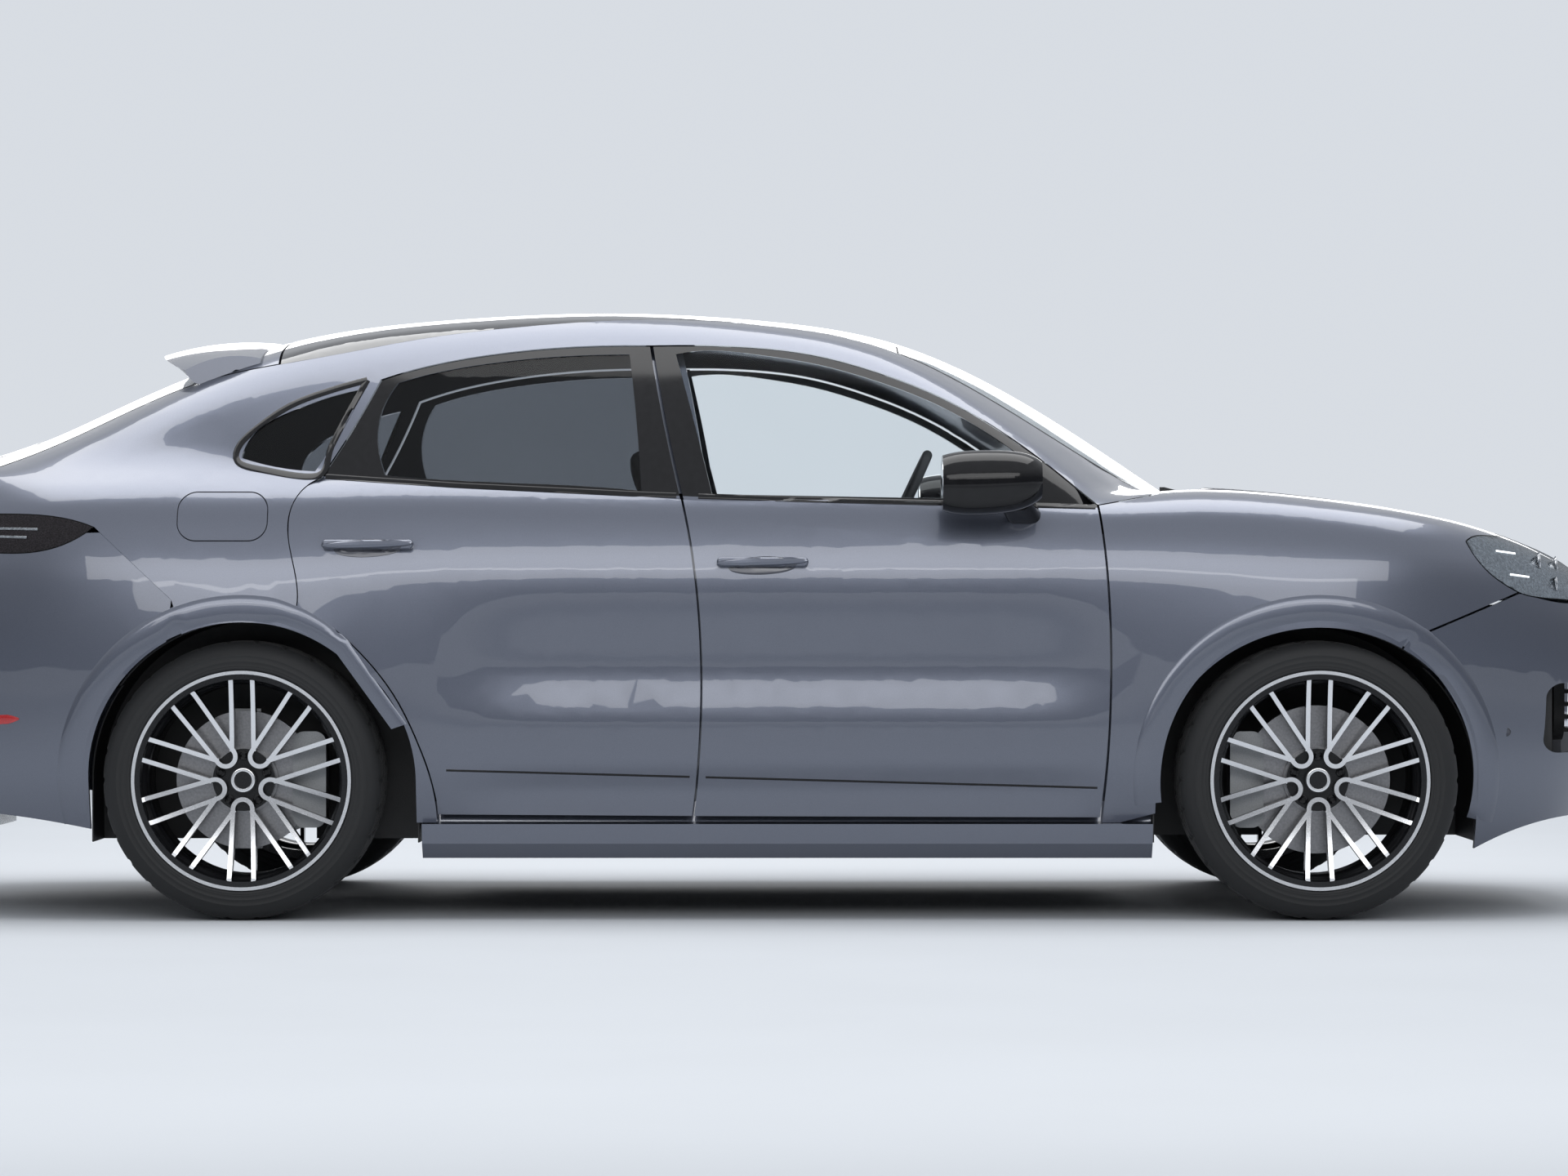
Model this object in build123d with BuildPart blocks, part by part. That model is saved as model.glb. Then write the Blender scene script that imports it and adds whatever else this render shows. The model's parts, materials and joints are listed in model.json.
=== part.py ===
from build123d import *
import os
import numpy as np

# A five-door coupe sport utility vehicle.
# +X points forward, +Y to its left and +Z up. The origin is on the ground, midway along its length.
# Right-hand pieces are modelled (y < 0) and mirrored to make the left-hand ones.

# --- driving dimensions, millimetres -------------------------------------------------------------
WHEELBASE = 2895
FRONT_OVERHANG = 913
REAR_OVERHANG = 1122
BODY_WIDTH = 1983
ROOF_HEIGHT = 1683
BELT_HEIGHT = 1130
TRACK = 1680
FRONT_DOOR_LENGTH = 1100
DOOR_FRONT_SETBACK = 562

SHUT_GAP = 6
FRAME_GAP = 9
SEAT_CLEARANCE = 0.3
SKIN = 9
DOOR_DEPTH = 70
FRAME_FLANGE = 12
FRAME_DEPTH = 34
DOOR_RETURN = 48
PILLAR_INSET = 84
GLASS = 5
FRAME_RETURN = 14
GLASS_INSET = 3
BUMPER_SKIN = 26
BODY_SKIN = 34

TYRE_RADIUS = 376
TYRE_WIDTH = 285
RIM_RADIUS = 279.4
RIM_FLANGE = 17
FRONT_DISC_RADIUS = 200
REAR_DISC_RADIUS = 186
DISC_THICKNESS = 34
BOLT_CIRCLE = 130
BOLT_COUNT = 5
BOLT_HOLE_RADIUS = 7.5
SPINDLE_RADIUS = 32
RUNNING_CLEARANCE = 0.08
STEERING_OFFSET = 70

# --- stations worked out from them ---------------------------------------------------------------
NOSE = (WHEELBASE + FRONT_OVERHANG + REAR_OVERHANG) / 2
TAIL = -NOSE
F = NOSE - FRONT_OVERHANG
R = F - WHEELBASE
HALF = BODY_WIDTH / 2
A = F - DOOR_FRONT_SETBACK
B = A - FRONT_DOOR_LENGTH
BELT = BELT_HEIGHT
ROOF = ROOF_HEIGHT
AXLE = TYRE_RADIUS
REACH = HALF + 300
INWARD = (0, 1, 0)


# --- smooth functions ----------------------------------------------------------------------------
def curve(*points):
    """A natural cubic spline through (station, value) points, straight past its ends."""
    t, v = np.array(points, float).T
    h = np.diff(t)
    slope = np.diff(v) / h
    inner = np.diag(2 * (h[:-1] + h[1:])) + np.diag(h[1:-1], 1) + np.diag(h[1:-1], -1)
    bend = np.concatenate(([0], np.linalg.solve(inner, 6 * np.diff(slope)), [0]))
    start = slope[0] - h[0] * bend[1] / 6
    finish = slope[-1] + h[-1] * bend[-2] / 6

    def value(x):
        inside = np.clip(x, t[0], t[-1])
        i = np.clip(np.searchsorted(t, inside, side="right") - 1, 0, len(h) - 1)
        p = (t[i + 1] - inside) / h[i]
        q = 1 - p
        bowed = ((p**3 - p) * bend[i] + (q**3 - q) * bend[i + 1]) * h[i] ** 2 / 6
        past = np.minimum(x - t[0], 0) * start + np.maximum(x - t[-1], 0) * finish
        return p * v[i] + q * v[i + 1] + bowed + past

    return value


def ramp(a, b, x):
    """0 at a, 1 at b, with no corner at either end."""
    t = np.clip((x - a) / (b - a), 0, 1)
    return t**3 * (t * (6 * t - 15) + 10)


def swell(x, centre, spread):
    return np.exp(-(((x - centre) / spread) ** 2))


def round_max(a, b, radius):
    """The larger of two values, rounded where they meet."""
    near = np.maximum(radius - abs(a - b), 0) / radius
    return np.maximum(a, b) + near**3 * radius / 6


def round_min(a, b, radius):
    return -round_max(-a, -b, radius)


# --- the body surface: negative inside, positive outside -----------------------------------------
plan_width = curve(
    (TAIL + 165, HALF - 67), (R - 557, HALF - 34), (R, HALF - 30), (R + 643, HALF - 36),
    (B + 210, HALF - 34), (A - 90, HALF - 37), (F, HALF - 37), (F + 448, HALF - 67), (NOSE - 65, HALF - 112),
)
door_section = curve(
    (150, -95), (220, -66), (285, -40), (320, -42), (360, -34), (405, -14), (470, -3), (545, 0),
    (610, -7), (670, -13), (740, -10), (820, -3), (890, 0), (960, -5), (1040, -21),
    (BELT, -52), (BELT + 120, -130), (BELT + 270, -220),
)
plain_section = curve(
    (150, -95), (260, -55), (400, -14), (545, -2), (700, 0), (890, -2), (960, -7), (1040, -23),
    (BELT, -52), (BELT + 120, -130), (BELT + 270, -220),
)
nose_profile = curve(
    (150, NOSE - 175), (230, NOSE - 85), (330, NOSE - 35), (450, NOSE - 10), (600, NOSE), (740, NOSE - 5),
    (840, NOSE - 25), (930, NOSE - 65), (1000, NOSE - 115), (1100, NOSE - 215), (1250, NOSE - 365),
)
tail_profile = curve(
    (150, TAIL + 215), (230, TAIL + 125), (330, TAIL + 60), (450, TAIL + 17), (600, TAIL), (720, TAIL + 5),
    (850, TAIL + 33), (950, TAIL + 70), (1050, TAIL + 113), (1130, TAIL + 145), (1210, TAIL + 170),
    (1300, TAIL + 195),
)
hood_profile = curve(
    (TAIL + 165, 1212), (R - 657, 1225), (R - 257, 1232), (R + 43, 1240), (R + 343, 1250), (B - 390, BELT + 110),
    (B + 110, BELT + 95), (A - 390, BELT + 85), (A + 10, 1180), (F - 317, 1186),
    (F - 22, 1168), (F + 191, 1140), (F + 427, 1092), (F + 648, 1020), (NOSE - 135, 955), (NOSE - 45, 880),
    (NOSE + 35, 780),
)
roof_profile = curve(
    (TAIL + 15, 1120), (R - 927, 1205), (R - 715, 1294), (R - 267, ROOF - 188), (R + 5, ROOF - 92),
    (R + 489, ROOF - 19), (B - 225, ROOF), (B + 200, ROOF - 23), (A - 546, ROOF - 87), (A - 168, 1419),
    (A + 210, 1175), (A + 310, 1110),
)
glass_foot = curve(
    (R - 957, HALF - 331), (R - 657, HALF - 246), (R - 57, HALF - 146), (R + 543, HALF - 108),
    (B + 110, HALF - 102), (A - 390, HALF - 118), (A + 210, HALF - 191), (A + 410, HALF - 231),
)


def half_width(x, z):
    """Half the body's width on the lower body, with the doors' sculpted flank between the arches."""
    doors = ramp(A + 160, A - 290, x) * ramp(R + 393, R + 893, x)
    flank = door_section(z) * doors + plain_section(z) * (1 - doors)
    arches = 28 * swell(x, F, 360) + 32 * swell(x, R, 400)
    return plan_width(x) + flank + arches * swell(z, 650, 420)


def flank(x, y, z):
    """The sides, drawn round to the nose and the tail in plan."""
    width = np.maximum(half_width(x, z), 60)
    ahead = x > 0
    front = (x - F) / (nose_profile(z) - F)
    rear = (x - R) / (tail_profile(z) - R)
    run = np.maximum(np.where(ahead, front, rear), 0)
    power = np.where(ahead, 3.2, 3.8)
    return width * ((abs(y) / width) ** power + run**power) ** (1 / power) - width


def deck(x, y):
    """The height of the hood and of the deck behind the rear glass."""
    crest = 6 * swell(abs(y), HALF - 230, 120) * ramp(A - 90, A + 310, x)
    return hood_profile(x) - 26 * (y / (HALF - 290)) ** 2 + crest


def lower_body(x, y, z):
    nose = 60 * ramp(F + 348, F + 848, x) * ramp(HALF - 290, HALF - 690, abs(y))
    tail = 120 * ramp(R - 357, R - 857, x) * ramp(HALF - 140, HALF - 390, abs(y))
    return round_max(flank(x, y, z), z - deck(x, y), 150 - nose - tail)


def glasshouse(x, y, z):
    """The windows, pillars and roof, as one smooth dome."""
    rise = (z - BELT) / 1000
    sides = abs(y) - glass_foot(x) + 1000 * (0.40 * rise + 0.42 * rise**2)
    slope = abs(roof_profile(x + 5) - roof_profile(x - 5)) / 10
    return round_max(sides, z - roof_profile(x) + (y / 600) ** 2 * (42 + 95 * slope), 110)


def whole_body(x, y, z):
    """Both together, with a soft shoulder over the rear wheels, ending at the tail."""
    cabin = round_max(glasshouse(x, y, z), tail_profile(z) - x, 50)
    return round_min(lower_body(x, y, z), cabin, 60 + 120 * ramp(R + 243, R - 357, x))


# --- surfaces ------------------------------------------------------------------------------------
def rays(shape, starts, directions):
    """Where rays from inside the body reach its surface."""
    near = np.zeros(directions.shape[:-1])
    far = near + 2000.0
    for _ in range(32):
        middle = (near + far) / 2
        x, y, z = np.moveaxis(starts + directions * middle[..., None], -1, 0)
        outside = shape(x, y, z) > 0
        far = np.where(outside, middle, far)
        near = np.where(outside, near, middle)
    return starts + directions * near[..., None]


def fitted(points):
    grid = [[Vector(*map(float, point)) for point in row] for row in points]
    return Face.make_surface_from_array_of_points(grid, tol=0.3, min_deg=3, max_deg=3)


def wrap(shape, stations, height, rises):
    """A surface seen from a line along the car: (x, turn) stations by angles of rise, in degrees."""
    x, turn = (column[:, None] for column in np.array(stations, float).T)
    turn = np.radians(turn)
    rise = np.radians(np.array(rises, float))[None, :]
    directions = [np.sin(turn) * np.cos(rise), -np.cos(turn) * np.cos(rise), np.sin(rise) + 0 * turn]
    starts = [x + 0 * rise, 0 * x + 0 * rise, 0 * x + 0 * rise + height]
    return fitted(rays(shape, np.stack(starts, -1), np.stack(directions, -1)))


def arch_over(shape, stations, height, rises):
    """A surface seen from the same line in fans across the car, (x, lean) of each fan in degrees."""
    x, lean = (column[:, None] for column in np.array(stations, float).T)
    lean = np.radians(lean)
    rise = np.radians(np.array(rises, float))[None, :]
    directions = [np.sin(lean) + 0 * rise, -np.cos(lean) * np.cos(rise), np.cos(lean) * np.sin(rise)]
    starts = [x + 0 * rise, 0 * x + 0 * rise, 0 * x + 0 * rise + height]
    return fitted(rays(shape, np.stack(starts, -1), np.stack(directions, -1)))


def spread(start, stop, count):
    return [start + (stop - start) * i / (count - 1) for i in range(count)]


around = [(x, 0) for x in spread(R + 60, F, 27)] + [(F, turn) for turn in spread(6, 90, 14)]
SIDE = wrap(lower_body, around, 600, spread(-26, 44, 26))
DOME = arch_over(glasshouse, [(x, 0) for x in spread(R - 960, A + 330, 34)], 1000, spread(4, 176, 44))
ROOF_TOP = arch_over(glasshouse, [(x, 0) for x in spread(R - 360, A + 320, 32)], 700, spread(44, 136, 31))
REAR_SIDE = arch_over(
    whole_body,
    [(R - 600, lean) for lean in spread(-26, -3, 9)] + [(x, 0) for x in spread(R - 600, A + 230, 34)],
    700,
    spread(-30, 66, 36),
)
TAIL_SIDE = wrap(
    whole_body,
    [(R, turn) for turn in spread(-90, -4, 34)] + [(x, 0) for x in spread(R, R + 300, 8)],
    600,
    spread(-21, 27, 31),
)
TAIL_END = arch_over(
    whole_body,
    [(R - 600, lean) for lean in spread(-46, -2, 30)] + [(x, 0) for x in spread(R - 600, R + 343, 20)],
    150,
    spread(46, 134, 61),
)
HOOD = arch_over(
    lower_body,
    [(x, 0) for x in spread(A + 150, NOSE - 350, 18)] + [(NOSE - 350, lean) for lean in spread(5, 62, 13)],
    500,
    spread(30, 150, 31),
)


def behind(face, depth, direction):
    """The wall behind a surface."""
    return extrude(face, amount=depth, dir=direction, mode=Mode.PRIVATE)


def closed(*runs):
    """A sketch bounded by runs of points: two points make a line, more make a smooth curve."""
    with BuildSketch(mode=Mode.PRIVATE) as sketch:
        with BuildLine():
            for run in runs:
                Line(*run) if len(run) == 2 else Spline(*run)
        make_face()
    return sketch.sketch


def redrawn(edge):
    """An edge of an offset outline as a plain line or spline."""
    if edge.geom_type in (GeomType.LINE, GeomType.CIRCLE):
        return edge
    steps = max(4, round(edge.length / 60))
    return Edge.make_spline([edge @ (i / steps) for i in range(steps + 1)], tangents=[edge % 0, edge % 1])


def shrunk(sketch, amount):
    """The same outline, moved in by an amount, or out by a negative one."""
    moved = offset(sketch, amount=-amount, kind=Kind.ARC, mode=Mode.PRIVATE)
    return Sketch() + [Face(Wire([redrawn(edge) for edge in face.outer_wire().edges()])) for face in moved.faces()]


def through(sketch, plane=Plane.XZ, reach=REACH):
    """A bar of the outline's section, from the car's centre plane outwards."""
    return extrude(plane * sketch, amount=reach, mode=Mode.PRIVATE)


os.makedirs("parts", exist_ok=True)


def write(part, name):
    part.label = name
    export_step(part, f"parts/{name}.step")


def write_pair(part, name):
    write(part, name + "_right")
    write(mirror(part, about=Plane.XZ), name + "_left")


# --- shut lines in the side view, (x, z) ---------------------------------------------------------
HINGE_EDGE = [(A - 28, BELT - 11), (A - 11, 981), (A + 2, 762), (A, 543), (A - 22, 272)]
SPLIT_EDGE = [(B - 52, BELT + 2), (B - 17, 937), (B, 718), (B, 543), (B - 22, 276)]
SPLIT_FRAME = [(B - 142, ROOF - 119), (B - 100, 1341), (B - 52, BELT + 2)]
ARCH_EDGE = [(R + 198, BELT + 62), (R + 130, BELT - 12), (R + 120, 1064), (R + 127, 1001), (R + 147, 839)]
ARCH_SWEEP = [(R + 147, 839), (R + 235, 792), (R + 318, 718), (R + 405, 609), (R + 471, 477), (R + 508, 368), (R + 521, 280)]
REAR_FRAME = [(R + 350, ROOF - 216), (R + 270, 1310), (R + 198, BELT + 62)]
FRONT_WINDOW_TOP = [
    (A - 28, BELT - 11), (A - 124, 1204), (A - 275, 1318), (A - 451, 1421), (A - 629, ROOF - 191),
    (A - 786, ROOF - 147), (A - 944, ROOF - 125), (B - 142, ROOF - 119),
]
REAR_WINDOW_TOP = [
    (B - 142, ROOF - 119), (B - 363, ROOF - 123), (R + 644, ROOF - 146), (R + 464, ROOF - 181),
    (R + 350, ROOF - 216),
]
QUARTER_TOP = [
    (R + 350, ROOF - 216), (R + 200, 1432), (R + 119, 1401), (R + 12, 1339), (R - 41, 1265), (R - 36, 1235),
    (R + 42, BELT + 85), (R + 198, BELT + 62),
]
BELT_LINE = [
    (A + 60, BELT - 13), (A - 28, BELT - 11), (A - 392, BELT - 5), (A - 788, BELT + 1), (B - 52, BELT + 2),
    (B - 130, BELT + 8), (R + 574, BELT + 38), (R + 198, BELT + 62), (R - 100, BELT + 76),
]
FRONT_WINDOW = [
    [(A - 190, 1131), (A - 392, 1135), (A - 788, 1142), (B + 29, 1147)],
    [(B + 29, 1147), (B - 20, 1341), (B - 74, ROOF - 145)],
    [(B - 74, ROOF - 145), (B + 20, ROOF - 134), (A - 947, ROOF - 146), (A - 792, ROOF - 172), (A - 637, ROOF - 216),
     (A - 462, 1398), (A - 290, 1296), (A - 200, 1229)],
    [(A - 200, 1229), (A - 190, 1131)],
]
REAR_WINDOW = [
    [(B - 162, 1156), (B - 330, 1170), (R + 574, 1184), (R + 375, 1200)],
    [(R + 375, 1200), (R + 360, 1384), (R + 398, ROOF - 226)],
    [(R + 398, ROOF - 226), (R + 464, ROOF - 206), (R + 644, ROOF - 171), (B - 363, ROOF - 149), (B - 202, ROOF - 145)],
    [(B - 202, ROOF - 145), (B - 178, 1341), (B - 162, 1156)],
]
QUARTER_WINDOW = [
    [(R + 184, BELT + 80), (R + 42, BELT + 100), (R - 20, 1248)],
    [(R - 20, 1248), (R + 20, 1325), (R + 128, 1386), (R + 200, 1414), (R + 300, ROOF - 243)],
    [(R + 300, ROOF - 243), (R + 243, 1310), (R + 184, BELT + 80)],
]
ROOF_EDGE = [
    (R - 857, 1110), (R - 767, 1190), (R - 617, 1262), (R - 384, 1373), (R - 156, ROOF - 219), (R - 13, ROOF - 186),
    (R + 202, ROOF - 148), (R + 463, ROOF - 98), (R + 733, ROOF - 64), (B + 20, ROOF - 42), (A - 563, ROOF - 134),
    (A - 339, 1437), (A - 115, 1299), (A + 141, 1152),
]
ROOF_REAR = R + 66
HEADER = A - 560


def split_at_belt(outline):
    """An outline's parts above and below the belt line."""
    with BuildSketch(mode=Mode.PRIVATE) as under:
        with BuildLine():
            Spline(*BELT_LINE)
            Polyline(BELT_LINE[-1], (R - 100, 0), (A + 60, 0), BELT_LINE[0])
        make_face()
    return outline - under.sketch, outline & under.sketch


def door(outline, window):
    """A right-hand door: a thin outer skin, a deep inner box set in from its edges, and a window frame."""
    top, bottom = split_at_belt(shrunk(outline, SHUT_GAP / 2))
    frame = split_at_belt(shrunk(outline, FRAME_GAP / 2))[0]
    box = split_at_belt(shrunk(outline, SHUT_GAP / 2 + DOOR_RETURN))[1]
    rib = split_at_belt(shrunk(outline, FRAME_GAP / 2 + FRAME_RETURN))[0]
    opening = through(closed(*window))
    with BuildPart() as panel:
        add(behind(SIDE, DOOR_DEPTH, INWARD) & through(bottom))
        add(behind(SIDE, REACH / 2, INWARD).moved(Pos(0, SKIN, 0)) & (through(bottom) - through(box)), mode=Mode.SUBTRACT)
        add((behind(DOME, FRAME_DEPTH, INWARD) & through(frame)) - opening)
        add(behind(DOME, REACH / 2, INWARD).moved(Pos(0, FRAME_FLANGE, 0)) & (through(frame) - through(rib)), mode=Mode.SUBTRACT)
    return panel.part


def pane(window, clearance):
    """Side glass filling a window outline, just inside the outer surface."""
    outer = behind(DOME, GLASS, INWARD).moved(Pos(0, GLASS_INSET, 0))
    return outer & through(shrunk(closed(*window), clearance))


front_door_outline = closed(FRONT_WINDOW_TOP, SPLIT_FRAME, SPLIT_EDGE, [(B - 22, 276), (A - 22, 272)], HINGE_EDGE[::-1])
rear_door_outline = closed(
    REAR_WINDOW_TOP, REAR_FRAME, ARCH_EDGE, ARCH_SWEEP, [(R + 521, 280), (B - 22, 276)],
    SPLIT_EDGE[::-1], SPLIT_FRAME[::-1],
)
HANDLE_LENGTH = 247
HANDLE_HEIGHT = 26
HANDLE_REACH = 34


def handle(x, z, skin_y):
    """A pull handle: a rounded bar standing off the door skin on its two ends."""
    with BuildPart() as bar:
        with BuildSketch(Plane.XZ.offset(-skin_y - 2)):
            with Locations((x, z)):
                SlotOverall(HANDLE_LENGTH, HANDLE_HEIGHT)
        extrude(amount=HANDLE_REACH)
        fillet(bar.faces().sort_by(Axis.Y)[0].edges(), 8)
        with Locations((x, skin_y - 5, z)):
            Box(HANDLE_LENGTH - 80, 30, HANDLE_HEIGHT + 10, mode=Mode.SUBTRACT)
    return bar.part


# --- doors and side glass ------------------------------------------------------------------------
with BuildPart() as front_door:
    add(door(front_door_outline, FRONT_WINDOW))
    add(handle(B + 166, 963, -HALF + 44))
write_pair(front_door.part, "front_door")

with BuildPart() as rear_door:
    add(door(rear_door_outline, REAR_WINDOW))
    add(handle(R + 338, 1010, -HALF + 44))
write_pair(rear_door.part, "rear_door")

with BuildPart() as front_window:
    add(pane(FRONT_WINDOW, SEAT_CLEARANCE))
write_pair(front_window.part, "front_window")

with BuildPart() as rear_door_window:
    add(pane(REAR_WINDOW, SEAT_CLEARANCE))
write_pair(rear_door_window.part, "rear_door_window")

with BuildPart() as quarter_glass:
    add(pane(QUARTER_WINDOW, 4 * SEAT_CLEARANCE))
    mirror(about=Plane.XZ)
write(quarter_glass.part, "quarter_glass")


# --- wheel arches --------------------------------------------------------------------------------
def arch(axle, front_reach, rear_reach, height, margin=0):
    """A wheel opening: two quarter ellipses above the axle and straight legs below it."""
    with BuildSketch(mode=Mode.PRIVATE) as sketch:
        with BuildLine():
            EllipticalCenterArc((axle, AXLE), front_reach + margin, height + margin, start_angle=0, arc_size=90)
            EllipticalCenterArc((axle, AXLE), rear_reach + margin, height + margin, start_angle=90, arc_size=90)
            Polyline((axle - rear_reach - margin, AXLE), (axle - rear_reach - margin, 60),
                     (axle + front_reach + margin, 60), (axle + front_reach + margin, AXLE))
        make_face()
    return sketch.sketch


FRONT_ARCH = (F, 438, 438, 411)
REAR_ARCH = (R, 467, 414, 425)
FLARE = 78
FLARE_RAISE = 7
LINER = 4
front_arch = arch(*FRONT_ARCH)
rear_arch = arch(*REAR_ARCH)

# --- hood and front end --------------------------------------------------------------------------
HOOD_SIDE = [(A + 235, -HALF + 246), (F + 50, -HALF + 256), (F + 350, -HALF + 290), (F + 600, -HALF + 395),
             (F + 750, -HALF + 575), (F + 815, -HALF + 790), (F + 830, 0)]
HOOD_BACK = [(A + 235, -HALF + 246), (A + 300, -HALF + 580), (A + 330, 0)]
HOOD_DEPTH = 24
LAMP_TOP = [(F + 407, 1020), (F + 431, 1034), (F + 483, 1037), (F + 538, 1036), (F + 595, 1024), (F + 643, 1004),
            (F + 693, 980), (F + 768, 936), (F + 795, 900)]
LAMP_BOTTOM = [(F + 795, 900), (F + 770, 872), (F + 685, 862), (F + 627, 866), (F + 572, 875), (F + 526, 895),
               (F + 481, 924), (F + 435, 971), (F + 407, 1020)]
lamp_outline = closed(LAMP_TOP, LAMP_BOTTOM)

hood_half = closed(HOOD_BACK, HOOD_SIDE[::-1][::-1], [(F + 830, 0), (A + 330, 0)])
hood_outline = hood_half + mirror(hood_half, about=Plane.XZ)
hood_column = extrude(hood_outline, amount=ROOF, mode=Mode.PRIVATE)
hood_hole = extrude(shrunk(hood_outline, -SHUT_GAP), amount=ROOF, mode=Mode.PRIVATE)
lamp_hole = through(shrunk(lamp_outline, -0.8))

with BuildPart() as hood:
    add(behind(HOOD, HOOD_DEPTH, (0, 0, -1)))
    add(hood_column, mode=Mode.INTERSECT)
    add(lamp_hole + mirror(lamp_hole, about=Plane.XZ), mode=Mode.SUBTRACT)
write(hood.part, "hood")

FENDER_SKIN = 10
fender_outline = closed(
    [(A - 22, 257.8), (A, 543), (A + 2, 762), (A - 11, 981), (A - 28, BELT - 11)],
    [(A - 28, BELT - 11), (A + 60, 1135), (A + 141, 1152)],
    [(A + 141, 1152), (A + 235, 1300)],
    [(A + 235, 1300), (F + 500, 1300)],
    [(F + 500, 1300), (F + 555, 881)],
    [(F + 555, 881), (F + 239, 753)],
    [(F + 239, 753), (F, 400)],
    [(F, 400), (A + 30, 257.8)],
    [(A + 30, 257.8), (A - 22, 257.8)],
)
with BuildPart() as front_fender:
    add(behind(SIDE, FENDER_SKIN, (0, 0.8, -0.6)) & through(shrunk(fender_outline, SHUT_GAP / 2)))
    add(through(front_arch), mode=Mode.SUBTRACT)
    add(lamp_hole, mode=Mode.SUBTRACT)
    add(hood_hole, mode=Mode.SUBTRACT)
    with Locations((A + 170, 0, BELT)):
        Box(340, 2 * HALF - 504, 300, mode=Mode.SUBTRACT)
write_pair(front_fender.part, "front_fender")

LAMP_DEPTH = 120
with BuildPart() as headlamps:
    add(behind(SIDE, LAMP_DEPTH, (-0.6, 0.6, -0.5)) & through(lamp_outline))
    add(hood_hole, mode=Mode.SUBTRACT)
    mirror(about=Plane.XZ)
write(headlamps.part, "headlamps")


front_bumper_outline = closed(
    [(F + 239, 753), (F + 555, 881)],
    [(F + 555, 881), (F + 627, 866), (F + 770, 872), (F + 795, 900)],
    [(F + 795, 900), (NOSE + 50, 905)],
    [(NOSE + 50, 905), (NOSE + 50, 240)],
    [(NOSE + 50, 240), (F + 664, 260), (F + 437, 182)],
    [(F + 437, 182), (F, 400)],
    [(F, 400), (F + 239, 753)],
)
GRILLE_MOUTH = (760, 250, 605)
LOWER_MOUTH = (1060, 110, 345)
CORNER_MOUTH = (250, 190, 540, 680)


def mouths(margin=0):
    """The openings in the front bumper, seen from ahead."""
    with BuildSketch(mode=Mode.PRIVATE) as sketch:
        with Locations((0, GRILLE_MOUTH[2])):
            RectangleRounded(GRILLE_MOUTH[0] + 2 * margin, GRILLE_MOUTH[1] + 2 * margin, 60)
        with Locations((0, LOWER_MOUTH[2])):
            RectangleRounded(LOWER_MOUTH[0] + 2 * margin, LOWER_MOUTH[1] + 2 * margin, 30)
        with Locations((-CORNER_MOUTH[3], CORNER_MOUTH[2]), (CORNER_MOUTH[3], CORNER_MOUTH[2])):
            RectangleRounded(CORNER_MOUTH[0] + 2 * margin, CORNER_MOUTH[1] + 2 * margin, 40)
    return sketch.sketch


mouth_bars = extrude(Plane.YZ * mouths(), amount=NOSE + 100, mode=Mode.PRIVATE)
with BuildPart() as front_bumper:
    add(behind(SIDE, BUMPER_SKIN, (-0.7, 0.7, 0)) & through(shrunk(front_bumper_outline, SHUT_GAP / 2)))
    add(through(front_arch), mode=Mode.SUBTRACT)
    add(lamp_hole, mode=Mode.SUBTRACT)
    add(hood_hole, mode=Mode.SUBTRACT)
    mirror(about=Plane.XZ)
    add(mouth_bars, mode=Mode.SUBTRACT)
write(front_bumper.part, "front_bumper")

GRILLE_PLANE = NOSE - 190
with BuildPart() as front_grille:
    with BuildSketch(Plane.YZ.offset(GRILLE_PLANE)):
        add(mouths(12))
        Rectangle(2 * CORNER_MOUTH[3] - CORNER_MOUTH[0] - 26, 2 * ROOF, mode=Mode.INTERSECT)
    extrude(amount=30)
    with BuildSketch(Plane.YZ.offset(GRILLE_PLANE - 90)):
        with Locations((-CORNER_MOUTH[3], CORNER_MOUTH[2]), (CORNER_MOUTH[3], CORNER_MOUTH[2])):
            RectangleRounded(CORNER_MOUTH[0] + 24, CORNER_MOUTH[1] + 24, 40)
        Rectangle(2 * CORNER_MOUTH[3] + 90, 2 * ROOF, mode=Mode.INTERSECT)
    extrude(amount=30)
    with BuildSketch(Plane.YZ.offset(GRILLE_PLANE + 30)):
        with Locations([(0, GRILLE_MOUTH[2] + 36 * i) for i in range(-3, 4)]):
            Rectangle(GRILLE_MOUTH[0] - 40, 10)
        with Locations([(0, LOWER_MOUTH[2] + 34 * i) for i in range(-1, 2)]):
            Rectangle(LOWER_MOUTH[0] - 180, 8)
    extrude(amount=40)
write(front_grille.part, "front_grille")

# --- body side -----------------------------------------------------------------------------------

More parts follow.
